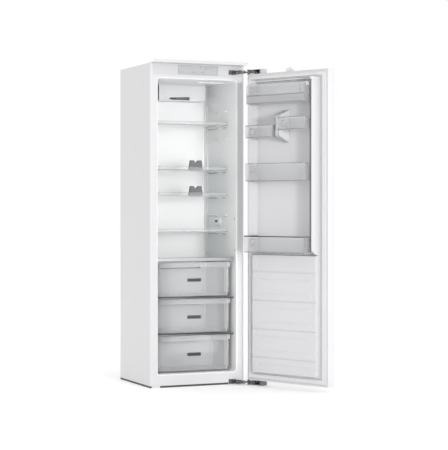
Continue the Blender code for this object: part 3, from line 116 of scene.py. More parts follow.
world = bpy.data.worlds.new("studio")
world.use_nodes = True
background = world.node_tree.nodes["Background"]
background.inputs["Color"].default_value = (1.0, 1.0, 1.0, 1)
background.inputs["Strength"].default_value = 1.0
scene.world = world
scene.view_settings.view_transform = "Standard"
soft_light("front_light", (0.3, -6.5, 1.5), (0, 0, 0.95), 1.1, 100)
soft_light("top_light", (0.2, -2.2, 4.8), (0, -0.3, 0.8), 2.4, 5)
hidden_panel("food_light", (0.03, -0.215, 0.9), (-0.07, 0.2, 0.9), 0.34, 1.45, 0.46, 60)
hidden_panel("door_light", (0.335, -3.0, 0.87), (0.335, 0, 0.87), 0.30, 1.75, 0.8, 12)

# %% [markdown]
# Every finish is built the same way: a Principled shader, whose even values are set on its own
# sockets, and one or two noise patterns on Object coordinates that vary the roughness and raise
# a very fine relief. On the real product nothing is perfectly smooth: lacquer has a faint
# orange peel, and formed plastic has slow waves.


# %% A helper for finishes
def shader_of(made):
    return made.node_tree.nodes["Principled BSDF"]


def plain_finish(name, color, roughness, metallic=0.0):
    made = bpy.data.materials.new(name)
    made.use_nodes = True
    shader = shader_of(made)
    shader.inputs["Base Color"].default_value = (*color, 1)
    shader.inputs["Roughness"].default_value = roughness
    shader.inputs["Metallic"].default_value = metallic
    return made


def node(made, kind, **sockets):
    added = made.node_tree.nodes.new(kind)
    for name, value in sockets.items():
        added.inputs[name.replace("_", " ")].default_value = value
    return added


def wire(made, start, end):
    made.node_tree.links.new(start, end)


def object_pattern(made, scale, detail=2.0, stretch=(1, 1, 1)):
    """Noise on Object coordinates; its Fac runs from 0 to 1."""
    coordinates = node(made, "ShaderNodeTexCoord")
    mapping = node(made, "ShaderNodeMapping", Scale=stretch)
    pattern = node(made, "ShaderNodeTexNoise", Scale=scale, Detail=detail)
    wire(made, coordinates.outputs["Object"], mapping.inputs["Vector"])
    wire(made, mapping.outputs["Vector"], pattern.inputs["Vector"])
    return pattern.outputs["Fac"]


def vary_roughness(made, fac, low, high):
    spread = node(made, "ShaderNodeMapRange", To_Min=low, To_Max=high)
    wire(made, fac, spread.inputs["Value"])
    wire(made, spread.outputs["Result"], shader_of(made).inputs["Roughness"])


def vary_color(made, fac, first, second, low=0.35, high=0.65):
    ramp = node(made, "ShaderNodeValToRGB")
    start, end = ramp.color_ramp.elements
    start.position, start.color = low, (*first, 1)
    end.position, end.color = high, (*second, 1)
    wire(made, fac, ramp.inputs["Fac"])
    wire(made, ramp.outputs["Color"], shader_of(made).inputs["Base Color"])


def relief(made, fac, depth, strength):
    bump = node(made, "ShaderNodeBump", Strength=strength, Distance=depth)
    wire(made, fac, bump.inputs["Height"])
    wire(made, bump.outputs["Normal"], shader_of(made).inputs["Normal"])


def sheen(made, scale, low, high):
    """Roughness that drifts between two values."""
    vary_roughness(made, object_pattern(made, scale), low, high)


def skin(made, scale, depth, strength):
    """Relief of an evenly textured surface."""
    relief(made, object_pattern(made, scale), depth, strength)


# %% [markdown]
# White lacquered steel covers the cabinet and the door's outside. A coat of lacquer is a little
# glossier than the sheet under it and shows a fine peel, so the relief is small and dense.

# %% Lacquered steel
white_lacquer = plain_finish("white_lacquer", (0.65, 0.65, 0.66), 0.34)
lacquer_shader = shader_of(white_lacquer)
lacquer_shader.inputs["Coat Weight"].default_value = 0.25
lacquer_shader.inputs["Coat Roughness"].default_value = 0.22
sheen(white_lacquer, 6.0, 0.30, 0.38)
skin(white_lacquer, 420.0, 0.00006, 0.35)

# %% [markdown]
# The liners are sheets of white polystyrene drawn hot into a mould. They are glossier than the
# lacquer, and their surface waves slowly where the sheet was stretched. The bar over the opening
# and the fan unit are injection mouldings in white, with a finer, duller grain.

# %% Formed liner plastic
liner_white = plain_finish("liner_white", (0.88, 0.88, 0.885), 0.30)
sheen(liner_white, 9.0, 0.26, 0.36)
skin(liner_white, 28.0, 0.00035, 0.4)

# Painted shade: the door's liner is the same white sheet as the cabinet's, given a darker colour.
shaded_door_white = plain_finish("shaded_door_white", (0.57, 0.57, 0.58), 0.32)
sheen(shaded_door_white, 9.0, 0.28, 0.38)
skin(shaded_door_white, 28.0, 0.00035, 0.4)

moulded_white = plain_finish("moulded_white", (0.60, 0.60, 0.61), 0.38)
sheen(moulded_white, 40.0, 0.34, 0.44)
skin(moulded_white, 900.0, 0.00003, 0.4)

# Painted light: the fan unit is the same white moulding as the bar, given a lighter colour.
lit_fan_white = plain_finish("lit_fan_white", (0.70, 0.70, 0.71), 0.40)
sheen(lit_fan_white, 40.0, 0.36, 0.46)
skin(lit_fan_white, 900.0, 0.00003, 0.4)

# %% [markdown]
# Light grey, mid grey and dark mouldings come from tools with a spark-eroded texture. A dense
# noise gives that grain, and a slower one keeps the sheen from being even.


# %% Grained mouldings
def grained_plastic(name, color, roughness):
    made = plain_finish(name, color, roughness)
    slow = object_pattern(made, 25.0)
    deeper = tuple(share * 0.9 for share in color)
    vary_color(made, slow, deeper, color)
    vary_roughness(made, slow, roughness - 0.05, roughness + 0.06)
    skin(made, 1400.0, 0.00005, 0.6)
    return made


pale_grey = grained_plastic("pale_grey", (0.70, 0.71, 0.72), 0.42)
mid_grey = grained_plastic("mid_grey", (0.30, 0.305, 0.31), 0.45)
smoke_grey = grained_plastic("smoke_grey", (0.15, 0.15, 0.155), 0.45)
panel_grey = grained_plastic("panel_grey", (0.50, 0.505, 0.515), 0.40)
dark_grey = grained_plastic("dark_grey", (0.055, 0.055, 0.06), 0.5)
black_case = grained_plastic("black_case", (0.018, 0.018, 0.02), 0.45)

# %% [markdown]
# Clear mouldings are shown by how much they let through: little glare face on, and a milky rim
# where the wall is seen edge on. A Layer Weight node gives that change with the angle, and it
# drives the alpha, so light still falls through onto the liner behind.


# %% Clear plastics and glass
def see_through(name, color, roughness, face_on, edge_on):
    """Clear finish; face_on and edge_on say how much it covers seen from those sides."""
    made = plain_finish(name, color, roughness)
    weight = node(made, "ShaderNodeLayerWeight", Blend=0.45)
    spread = node(made, "ShaderNodeMapRange", To_Min=face_on, To_Max=edge_on)
    wire(made, weight.outputs["Facing"], spread.inputs["Value"])
    wire(made, spread.outputs["Result"], shader_of(made).inputs["Alpha"])
    return made


rack_clear = see_through("rack_clear", (0.70, 0.705, 0.72), 0.12, 0.09, 0.72)
skin(rack_clear, 30.0, 0.0003, 0.3)
lid_clear = see_through("lid_clear", (0.68, 0.685, 0.70), 0.16, 0.14, 0.75)
skin(lid_clear, 30.0, 0.0003, 0.3)
drawer_frost = see_through("drawer_frost", (0.80, 0.805, 0.815), 0.20, 0.14, 0.80)
skin(drawer_frost, 260.0, 0.0001, 0.4)
rack_edge = see_through("rack_edge", (0.24, 0.245, 0.25), 0.14, 0.60, 0.90)
sheen(rack_edge, 60.0, 0.10, 0.20)
# Painted shade: grey plates for the dark band on the racks' free-side ends.
rack_end_shade = see_through("rack_end_shade", (0.30, 0.305, 0.31), 0.18, 0.30, 0.80)
sheen(rack_end_shade, 60.0, 0.14, 0.24)
frost_band = see_through("frost_band", (0.50, 0.505, 0.52), 0.40, 0.45, 0.80)
skin(frost_band, 700.0, 0.00005, 0.5)
# Painted highlight: the milky columns in the drawers' front corners.
column_highlight = see_through("column_highlight", (0.93, 0.935, 0.94), 0.30, 0.65, 0.80)
skin(column_highlight, 400.0, 0.00005, 0.4)
trim_clear = see_through("trim_clear", (0.62, 0.63, 0.64), 0.16, 0.14, 0.80)
sheen(trim_clear, 40.0, 0.12, 0.22)
glass_edge = see_through("glass_edge", (0.46, 0.50, 0.49), 0.12, 0.40, 0.90)
sheen(glass_edge, 90.0, 0.08, 0.20)
lamp_milk = plain_finish("lamp_milk", (0.93, 0.93, 0.92), 0.30)
sheen(lamp_milk, 50.0, 0.25, 0.36)
skin(lamp_milk, 500.0, 0.00004, 0.4)
shelf_glass = see_through("shelf_glass", (0.72, 0.80, 0.77), 0.04, 0.12, 0.65)
sheen(shelf_glass, 12.0, 0.03, 0.07)
divider_glass = see_through("divider_glass", (0.45, 0.50, 0.49), 0.05, 0.25, 0.85)
sheen(divider_glass, 12.0, 0.03, 0.08)

# %% [markdown]
# Metals: the hinges are passivated steel, dark with cloudy patches; the cover shelf's profile
# and the bottle rail are brushed along their length, so their noise is stretched along it; the
# back is zinc-coated sheet with its spangle, which a Voronoi pattern gives.


# %% Metals
def brushed_metal(name, color, roughness, stretch):
    made = plain_finish(name, color, roughness, 1.0)
    lines = object_pattern(made, 300.0, 3.0, stretch)
    vary_roughness(made, lines, roughness - 0.07, roughness + 0.1)
    relief(made, lines, 0.00004, 0.5)
    return made


brushed_rail = brushed_metal("brushed_rail", (0.46, 0.465, 0.475), 0.30, (0.02, 0.02, 1))
plate_metal = brushed_metal("plate_metal", (0.72, 0.73, 0.74), 0.35, (1, 1, 0.03))
hinge_steel = plain_finish("hinge_steel", (0.09, 0.09, 0.092), 0.42, 0.85)
cloud = object_pattern(hinge_steel, 60.0, 4.0)
vary_color(hinge_steel, cloud, (0.085, 0.085, 0.088), (0.18, 0.18, 0.184))
vary_roughness(hinge_steel, cloud, 0.34, 0.52)
skin(hinge_steel, 700.0, 0.00004, 0.5)
bright_pin = brushed_metal("bright_pin", (0.70, 0.70, 0.70), 0.28, (1, 1, 1))
rail_steel = brushed_metal("rail_steel", (0.14, 0.14, 0.145), 0.34, (0.02, 0.02, 1))
copper = brushed_metal("copper", (0.70, 0.36, 0.22), 0.34, (1, 1, 0.1))
vary_color(copper, object_pattern(copper, 45.0, 3.0), (0.46, 0.22, 0.13), (0.76, 0.42, 0.28))

zinc_sheet = plain_finish("zinc_sheet", (0.60, 0.61, 0.63), 0.45, 0.8)
spangle_place = node(zinc_sheet, "ShaderNodeTexCoord")
spangle = node(zinc_sheet, "ShaderNodeTexVoronoi", Scale=90.0)
wire(zinc_sheet, spangle_place.outputs["Object"], spangle.inputs["Vector"])
vary_roughness(zinc_sheet, spangle.outputs["Distance"], 0.36, 0.60)
vary_color(zinc_sheet, spangle.outputs["Distance"], (0.50, 0.51, 0.53), (0.66, 0.67, 0.69),
           0, 1)

# %% [markdown]
# The rest: soft gasket, foam, black lacquer on the cooling circuit, and the control board with
# its green mask. Foam has open cells where it was cut, so its relief is coarse.

# %% Gasket, foam, black lacquer and board
gasket_soft = plain_finish("gasket_soft", (0.66, 0.66, 0.67), 0.62)
sheen(gasket_soft, 30.0, 0.55, 0.70)
skin(gasket_soft, 800.0, 0.00005, 0.5)
# Painted light: the folds' grey is paler than the gasket to lift the shade in them.
fold_painted_light = plain_finish("fold_painted_light", (0.80, 0.80, 0.81), 0.65)
sheen(fold_painted_light, 30.0, 0.58, 0.72)
foam_yellow = plain_finish("foam_yellow", (0.78, 0.70, 0.48), 0.9)
cells = object_pattern(foam_yellow, 350.0, 4.0)
vary_color(foam_yellow, cells, (0.66, 0.56, 0.34), (0.82, 0.75, 0.55))
relief(foam_yellow, cells, 0.0006, 0.7)
black_lacquer = plain_finish("black_lacquer", (0.02, 0.02, 0.022), 0.35)
vary_roughness(black_lacquer, object_pattern(black_lacquer, 35.0, 4.0), 0.28, 0.48)
skin(black_lacquer, 260.0, 0.0001, 0.4)
board_green = plain_finish("board_green", (0.03, 0.16, 0.06), 0.4)
vary_color(board_green, object_pattern(board_green, 300.0, 1.0), (0.02, 0.11, 0.04),
           (0.05, 0.21, 0.08), 0.48, 0.52)
print("finishes:", len(bpy.data.materials))

# %% [markdown]
# Each solid keeps its shape and gets one of these finishes in place of its flat colour.

# %% Finishes on the solids
named_finishes = (
    (white_lacquer, "outer_casing top_mounting_strip door_outer_panel"),
    (liner_white, "inner_liner"),
    (shaded_door_white, "door_liner"),
    (moulded_white, "control_fascia"),
    (lit_fan_white, "fan_housing"),
    (panel_grey, "control_panel key_1 key_2 key_3"),
    (pale_grey, "front_foot_left front_foot_right panel_bracket"),
    (smoke_grey, "bottle_grip_1 bottle_grip_2"),
    (dark_grey, "base_plate fan_wheel fan_motor compressor_mount mains_inlet"),
    (black_case, "terminal_box evaporation_tray"),
    (lamp_milk, "sensor_cover"),
    (shelf_glass, "cover_shelf_glass"),
    (divider_glass, "divider_1 divider_2"),
    (lid_clear, "dairy_lid"),
    (brushed_rail, "cover_shelf_profile"),
    (rail_steel, "bottle_rail"),
    (plate_metal, "evaporator_plate"),
    (zinc_sheet, "back_panel"),
    (gasket_soft, "door_gasket"),
    (foam_yellow, "insulation_foam door_foam"),
    (black_lacquer, "compressor condenser"),
    (board_green, "control_board"),
)
finish_of = {name: finish for finish, names in named_finishes for name in names.split()}
for name in nodes:
    if name.startswith("shelf"):
        finish_of[name] = shelf_glass if name.endswith("glass") else trim_clear
    elif name.startswith("hinge"):
        finish_of[name] = hinge_steel
    elif name.startswith("drawer"):
        finish_of[name] = drawer_frost
    elif name.endswith("_rack"):
        finish_of[name] = rack_clear
for name, piece in nodes.items():
    for place in piece.material_slots:
        place.material = finish_of[name]
print("dressed solids:", sum(name in finish_of for name in nodes))

# %% [markdown]
# Pieces on the door are easiest to place where they would be with the door shut. The swing
# matrix then carries them to where the door stands in this scene, the same way as the solids.

# %% Where the door stands
half_width = 0.2785
front_plane = -0.2395
door_gap = 0.010
door_face = front_plane - door_gap
door_width = 0.557
door_low, door_high = 0.029, 1.719
opening_angle = math.radians(115)
shut_pivot = Vector((0.2735, -0.2535, 0))
open_pivot = Vector((0.278638, -0.307341, 0))
swing = (Matrix.Translation(open_pivot) @ Matrix.Rotation(opening_angle, 4, "Z")
         @ Matrix.Translation(-shut_pivot))


def door_spot(along, inward, height):
    """Shut place of a point: along from the hinge edge, inward from the door's inner face."""
    return Vector((half_width - along, door_face + inward, height))


# %% [markdown]
# Four helpers make most of the small pieces: a bevelled block between two corners, a round bar
# between two points, a plate between two matching outlines, and the step that turns a bmesh into
# a finished object on its body.


# %% Helpers for small pieces
def in_order(parts):
    """Each part once, in the same order on every run."""
    return list(dict.fromkeys(parts))


def soften(bm, edges, width):
    """Narrow rounding along the edges."""
    bmesh.ops.bevel(bm, geom=edges, offset=width, segments=2, profile=0.5, affect="EDGES",
                    material=-1)


def block(bm, low, high, bevel=0.0):
    """Block between two corners, with its edges rounded."""
    low, high = Vector(low), Vector(high)
    made = bmesh.ops.create_cube(bm, size=1.0)["verts"]
    bmesh.ops.scale(bm, verts=made, vec=high - low)
    bmesh.ops.translate(bm, verts=made, vec=(high + low) / 2)
    if bevel:
        soften(bm, in_order(edge for vert in made for edge in vert.link_edges), bevel)


def bar(bm, start, end, radius, sides=24, bevel=0.0):
    """Round bar between two points."""
    start, end = Vector(start), Vector(end)
    turn = (end - start).to_track_quat("Z", "Y").to_matrix().to_4x4()
    place = Matrix.Translation((start + end) / 2) @ turn
    made = bmesh.ops.create_cone(bm, cap_ends=True, segments=sides, radius1=radius,
                                 radius2=radius, depth=(end - start).length, matrix=place)
    if bevel:
        edges = in_order(edge for vert in made["verts"] for edge in vert.link_edges)
        rims = [edge for edge in edges
                if len({len(side.verts) for side in edge.link_faces}) == 2]
        soften(bm, rims, bevel)


def plate(bm, first, last):
    """Solid between two matching outlines."""
    rows = [[bm.verts.new(corner) for corner in outline] for outline in (first, last)]
    bm.faces.new(rows[0])
    bm.faces.new(rows[1][::-1])
    for index in range(len(first)):
        after = (index + 1) % len(first)
        bm.faces.new((rows[0][index], rows[1][index], rows[1][after], rows[0][after]))
    bmesh.ops.recalc_face_normals(bm, faces=list(bm.faces))


def settle(bm, name, finish, body, on_door=False):
    """Finished object from a bmesh, riding on its body."""
    if on_door:
        bmesh.ops.transform(bm, matrix=swing, verts=bm.verts)
    mesh = bpy.data.meshes.new(name)
    bm.to_mesh(mesh)
    bm.free()
    mesh.materials.append(finish)
    mesh.shade_smooth()
    mesh.set_sharp_from_angle(angle=math.radians(35))
    made = bpy.data.objects.new(name, mesh)
    add_object(made)
    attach(made, body)
    print(name, len(mesh.polygons), "faces")


# %% [markdown]
# The control bar has small lamps beside its keys. Each is a dark lens that stands just proud of
# the panel. The panel is a separate moulding, so a fine seam runs round it.

# %% Indicator lenses and panel seam
lens_dark = plain_finish("lens_dark", (0.05, 0.06, 0.06), 0.2)
sheen(lens_dark, 500.0, 0.15, 0.3)
panel_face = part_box("control_panel")[0].y
lens_radius = 0.0022
bm = bmesh.new()
for x, z in ((-0.0238, 1.7240), (0.0282, 1.7275), (0.0504, 1.7488), (0.0168, 1.7542)):
    bar(bm, (x, panel_face + 0.0006, z), (x, panel_face - 0.0004, z), lens_radius, 16, 0.0002)
settle(bm, "indicator_lenses", lens_dark, "cabinet")
bm = bmesh.new()
panel_low, panel_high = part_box("control_panel")
left, right, bottom, top = panel_low.x, panel_high.x, panel_low.z, panel_high.z
seam = 0.0015
for low, high in (((left, bottom), (right, bottom + seam)),
                  ((left, top - seam), (right, top)),
                  ((left, bottom), (left + seam, top)),
                  ((right - seam, bottom), (right, top))):
    block(bm, (low[0], panel_face - 0.0002, low[1]), (high[0], panel_face + 0.0005, high[1]))
settle(bm, "panel_seam", mid_grey, "cabinet")

# %% [markdown]
# The drawers carry a blank label bar each, a slim rounded plate on the front wall with fine
# upright ribs across it.

# %% Drawer label bars
front_wall = 0.0150
label_half, label_tall = 0.040, 0.0088
rib_pitch, rib_width, rib_tall = 0.0045, 0.0014, 0.0066
for index, middle in enumerate((0.581, 0.3765, 0.1705)):
    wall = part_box(f"drawer_{index + 1}")[0].y + front_wall
    bm = bmesh.new()
    block(bm, (-label_half, wall - 0.0012, middle - label_tall),
          (label_half, wall + 0.0030, middle + label_tall), 0.0011)
    for step in range(17):
        x = -0.0365 + step * rib_pitch
        block(bm, (x, wall - 0.0020, middle - rib_tall),
              (x + rib_width, wall - 0.0008, middle + rib_tall), 0.0003)
    settle(bm, f"drawer_label_{index + 1}", dark_grey, f"drawer_{index + 1}")

# %% [markdown]
# A slim metal edge closes the front of each glass between the drawers. The metal profile in
# front of the glass above them has a rolled bead along each edge.

# %% Divider edges
bm = bmesh.new()
for index in (1, 2):
    low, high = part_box(f"divider_{index}")
    block(bm, (low.x, low.y - 0.0035, low.z - 0.0024),
          (high.x, low.y + 0.0005, high.z - 0.0001), 0.0006)
settle(bm, "divider_edges", rail_steel, "cabinet")
bm = bmesh.new()
low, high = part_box("cover_shelf_profile")
for z in (low.z, high.z - 0.0018):
    block(bm, (low.x, low.y - 0.0005, z), (high.x, low.y + 0.0008, z + 0.0020), 0.0003)
settle(bm, "profile_beads", smoke_grey, "cabinet")

# %% [markdown]
# The fan unit has an outlet in front and an intake in its left end. The outlet is a dark bezel
# that tapers to one end, with fine upright blades on it; level louvres close the intake over a
# dark plate. The bezel and the plate are painted shade for the dark inside the openings.

# %% Fan grilles over painted shade
fan_low, fan_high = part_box("fan_housing")
# Painted shade: a dark bezel in the outlet.
bm = bmesh.new()
slot_y = fan_low.y - 0.0008
outline = ((-0.0345, 0.0100), (-0.0345, 0.0172), (0.0885, 0.0225), (0.0885, 0.0048))
plate(bm, *([(x, y, fan_low.z + rise) for x, rise in outline] for y in (slot_y, slot_y + 0.0010)))
settle(bm, "outlet_shade_bezel", dark_grey, "cabinet")
bm = bmesh.new()
blade_pitch, blade_width = 0.0053, 0.0022
for index in range(16):
    x = 0.0035 + index * blade_pitch
    block(bm, (x, slot_y - 0.0012, fan_low.z + 0.0092),
          (x + blade_width, slot_y, fan_low.z + 0.0178))
settle(bm, "outlet_grille", mid_grey, "cabinet")
# Painted shade: a dark plate behind the intake's louvres.
bm = bmesh.new()
side_x = fan_low.x
block(bm, (side_x - 0.0012, fan_low.y + 0.0022, fan_low.z + 0.003),
      (side_x + 0.0004, fan_low.y + 0.062, fan_high.z - 0.006), 0.0004)
louvre_pitch, louvre_tall = 0.0056, 0.0022
for index in range(14):
    z = fan_low.z + 0.010 + index * louvre_pitch
    block(bm, (side_x - 0.0022, fan_low.y + 0.0060, z),
          (side_x - 0.0010, fan_low.y + 0.058, z + louvre_tall), 0.0003)
settle(bm, "intake_louvres_and_shade", dark_grey, "cabinet")

# %% [markdown]
# A lamp in the ceiling lights the shelves. Its lens is a shallow milky cover, inset and raised
# once from a plain block so that it has a flat middle and a soft border.

# %% Ceiling lamp
bm = bmesh.new()
ceiling = 1.6866
lamp_size = (0.150, 0.046, 0.004)
lamp_place = (0.140, front_plane + 0.160, ceiling - 0.0015)
cover = bmesh.ops.create_cube(bm, size=1.0)["verts"]
bmesh.ops.scale(bm, verts=cover, vec=lamp_size)
bmesh.ops.translate(bm, verts=cover, vec=lamp_place)
under = [side for side in bm.faces if side.normal.z < -0.9]
bmesh.ops.inset_individual(bm, faces=under, thickness=0.007, depth=0.0022)
bmesh.ops.bevel(bm, geom=list(bm.edges), offset=0.0012, segments=3, profile=0.5,
                affect="EDGES", material=-1)
settle(bm, "ceiling_lamp", lamp_milk, "cabinet")

# %% [markdown]
# The cover on the right wall carries a dark sensor window and, nearer the front, an upright
# white slide. Close to the opening two small grey plugs fill the holes left for mounting.

# %% Sensor window, slide and wall plugs
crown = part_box("sensor_cover")[0].x
bm = bmesh.new()
block(bm, (crown - 0.0006, 0.0060, 0.8985), (crown + 0.0008, 0.0395, 0.9105), 0.0005)
settle(bm, "sensor_window", black_case, "cabinet")
bm = bmesh.new()
block(bm, (crown - 0.0022, -0.0270, 0.8865), (crown + 0.0008, -0.0060, 0.9145), 0.0008)
settle(bm, "sensor_slide", lamp_milk, "cabinet")
bm = bmesh.new()
plug_y, plug_radius = front_plane + 0.023, 0.0042
for z in (0.920, 0.745):
    bar(bm, (0.2345, plug_y, z), (0.2322, plug_y, z), plug_radius, 20, 0.0006)
settle(bm, "wall_plugs", mid_grey, "cabinet")

# %% [markdown]
# The shelves rest on ledges of the formed side walls. A rounded column stands in each rear
# corner, every ledge carries a raised bead along its edge, and a small stop over each rear
# ledge keeps a shelf from tipping. The beads and stops are whiter than the liner, a painted
# highlight, and grey lines under the beads and beside each column are painted shade.

# %% Corner columns, beads and stops in painted highlight, and painted shade lines
ledge_levels = (1.5331, 1.4420, 1.3781, 1.1897, 1.0460, 0.9435, 0.8430)
column_low, column_high = 0.726, 1.569
columns, beads, shades = bmesh.new(), bmesh.new(), bmesh.new()
for way in (-1, 1):
    column_x, bead_x, shade_x, corner_x = way * 0.2292, way * 0.2262, way * 0.2280, way * 0.2190
    bar(columns, (column_x, 0.1585, column_low), (column_x, 0.1585, column_high), 0.0065, 20,
        0.0020)
    for level in ledge_levels:
        bead_z, shade_z, stop_z = level - 0.0036, level - 0.0085, level + 0.0230
        for near, far in ((-0.108, -0.062), (0.014, 0.140)):
            bar(beads, (bead_x, near, bead_z), (bead_x, far, bead_z), 0.0030, 12, 0.0008)
            bar(shades, (shade_x, near, shade_z), (shade_x, far, shade_z), 0.0020, 10)
        bar(beads, (bead_x, 0.1520, stop_z), (bead_x, 0.1575, stop_z), 0.0042, 16, 0.0010)
    bar(shades, (corner_x, 0.1790, column_low), (corner_x, 0.1790, column_high), 0.0022, 10)
settle(columns, "corner_columns", liner_white, "cabinet")
# Painted highlight: beads and stops whiter than the liner.
settle(beads, "ledge_highlight_beads", lamp_milk, "cabinet")
# Painted shade: grey lines under the beads and beside each column.
settle(shades, "ledge_shade_lines", mid_grey, "cabinet")

# %% [markdown]
# Each bottle rest grips its shelf with a flat clip. It runs under the shelf's front profile, where
# it shows as a dark line, and hooks up over the profile's front.

# %% Clips of the bottle rests
for index, shelf in ((1, 2), (2, 3)):
    trim_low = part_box(f"shelf_{shelf}_trim")[0]
    bm = bmesh.new()
    start = (0.010, trim_low.y - 0.0010, trim_low.z - 0.0022)
    block(bm, start, (0.072, trim_low.y + 0.026, trim_low.z - 0.0004), 0.0006)
    block(bm, start, (0.072, trim_low.y + 0.0004, trim_low.z + 0.0060), 0.0004)
    settle(bm, f"grip_clip_{index}", mid_grey, f"shelf_{shelf}")

# %% [markdown]
# Bright lines show along the shelves' glass, where the sheet's ground front edge catches the
# light inside the clear profile. A fine grey bead runs along the profile's upper and lower edge.

# %% Ground glass edges
for index in range(1, 5):
    low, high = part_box(f"shelf_{index}_glass")
    bm = bmesh.new()
    block(bm, (low.x + 0.001, low.y + 0.0002, low.z + 0.0006),
          (high.x - 0.001, low.y + 0.0016, high.z - 0.0006), 0.0003)
    settle(bm, f"glass_edge_{index}", glass_edge, f"shelf_{index}")
    low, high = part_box(f"shelf_{index}_trim")
    bm = bmesh.new()
    bead = 0.0014
    for z in (low.z, high.z - bead):
        block(bm, (low.x, low.y - 0.0004, z), (high.x, low.y + 0.0006, z + bead), 0.0002)
    settle(bm, f"trim_beads_{index}", mid_grey, f"shelf_{index}")

# %% [markdown]
# A drawer's front is moulded with a handle lip. Under the lip a slim dark line of painted
# shadow ends near the middle, darker on the top drawer and there in a short hook. A milky
# column in each front corner, seen through the clear wall, is a painted highlight.

# %% Painted shadow under the drawers' lips and painted highlight columns
for index in range(1, 4):
    low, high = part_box(f"drawer_{index}")
    bm = bmesh.new()
    edge_z = high.z - 0.0290
    line_z, near_y, far_y = edge_z - 0.0038, low.y - 0.0004, low.y + 0.0016
    block(bm, (low.x + 0.010, near_y, line_z), (0.026, far_y, edge_z), 0.0006)
    if index == 1:
        block(bm, (0.020, near_y, line_z), (0.028, far_y, edge_z + 0.0065), 0.0010)
    # Painted shadow: a dark strip under the lip, darker on the top drawer.
    shadow_finish = smoke_grey if index == 1 else mid_grey
    settle(bm, f"lip_shadow_line_{index}", shadow_finish, f"drawer_{index}")
    # Painted highlight: a milky column in each front corner.
    bm = bmesh.new()
    wall = low.y + front_wall
    for side in (low.x + 0.0105, high.x - 0.0115):
        block(bm, (side, wall + 0.0030, low.z + 0.022),
              (side + 0.0010, wall + 0.0600, edge_z), 0.0003)
    settle(bm, f"corner_highlight_columns_{index}", column_highlight, f"drawer_{index}")

# %% [markdown]
# Screws fix the hinge leaves to the cabinet, and the back sheet to the foamed body. One helper
# makes a plain pan head; at this size its recess wouldn't show.


# %% Screws
def screw_head(bm, place, way, radius, height):
    """Pan head whose rim is rounded; way points out of the surface."""
    place, way = Vector(place), Vector(way).normalized()
    bar(bm, place, place + way * height, radius, 18, min(radius, height) * 0.45)


bm = bmesh.new()
for z in (1.7278, 1.7388, 0.0095, 0.0205):
    screw_head(bm, (0.1935, front_plane - 0.0033, z), (0, -1, 0), 0.0034, 0.0016)
settle(bm, "leaf_screws", rail_steel, "cabinet")
sheet_face, top_row = 0.2231, 1.722
back_places = [(x, z) for z in (0.300, 0.560, 0.820, 1.080, 1.340, 1.600, top_row)
               for x in (-0.247, 0.247)]
back_places += [(x, top_row) for x in (-0.13, 0.0, 0.13)]
bm = bmesh.new()
for x, z in back_places:
    screw_head(bm, (x, sheet_face, z), (0, 1, 0), 0.0042, 0.0020)
settle(bm, "back_screws", bright_pin, "cabinet")

# %% [markdown]
# The cut edge of the foam shows round the back sheet. Zinc-coated angle strips cover it on the
# real product and hold the sheet against the casing; below, the same sheet lines the sides of
# the compressor's recess.

# %% Cover strips round the back sheet
strip_in, strip_out, strip_foot, strip_top, strip_y = 0.2550, 0.2770, 0.268, 1.768, 0.2384
leaf_top, leaf_y, leaf_thick = 1.738, 0.2236, 0.0008
bm = bmesh.new()
for low, high in (((-strip_out, strip_foot), (-strip_in, strip_top)),
                  ((strip_in, strip_foot), (strip_out, strip_top)),
                  ((-strip_in, leaf_top), (strip_in, strip_top))):
    block(bm, (low[0], strip_y, low[1]), (high[0], strip_y + 0.0010, high[1]))
for x in (-0.2559, 0.2551):
    block(bm, (x, leaf_y, 0.0140), (x + leaf_thick, strip_y, leaf_top))
    block(bm, (x, 0.1100, 0.0140), (x + leaf_thick, leaf_y, 0.2400))
settle(bm, "back_strips", zinc_sheet, "cabinet")

# %% [markdown]
# Behind, the condenser's tube is welded to a row of upright wires that spread its heat. They
# are plain steel rods under the same black lacquer.

# %% Condenser wires
bm = bmesh.new()
wire_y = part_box("condenser")[1].y + 0.0007
wire_pitch, wire_radius = 0.010, 0.0008
for index in range(25):
    x = -0.120 + index * wire_pitch
    bar(bm, (x, wire_y, 0.316), (x, wire_y, 1.424), wire_radius, 8)
settle(bm, "condenser_wires", black_lacquer, "cabinet")

# %% [markdown]
# Three clips on each side hold the condenser off the back sheet. Each is a small plastic block
# into which the tube is pressed.

# %% Condenser clips
bm = bmesh.new()
for z in (0.450, 0.810, 1.170):
    for x in (-0.105, 0.105):
        block(bm, (x - 0.006, 0.2232, z - 0.011), (x + 0.006, 0.2312, z + 0.011), 0.0012)
settle(bm, "condenser_clips", pale_grey, "cabinet")

# %% [markdown]
# Copper and steel tubes join the compressor, the filter drier and the condenser. They are bent
# by hand on the real product, so each is a smooth curve through a few places.


# %% Tube helper
def pipe(name, places, radius, finish, body, sides=4):
    """Tube along a smooth curve through the places."""
    data = bpy.data.curves.new(name, "CURVE")
    data.dimensions = "3D"
    data.bevel_depth = radius
    data.bevel_resolution = sides
    data.resolution_u = 10
    data.use_fill_caps = True
    line = data.splines.new("BEZIER")
    line.bezier_points.add(len(places) - 1)
    for point, place in zip(line.bezier_points, places):
        point.co = place
        point.handle_left_type = "AUTO"
        point.handle_right_type = "AUTO"
    data.materials.append(finish)
    made = bpy.data.objects.new(name, data)
    add_object(made)
    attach(made, body)
    print(name, len(places), "places")


# %% [markdown]
# The discharge tube runs from the compressor to the condenser, the suction tube comes down from
# the evaporator, and a short closed stub is where the circuit was filled.

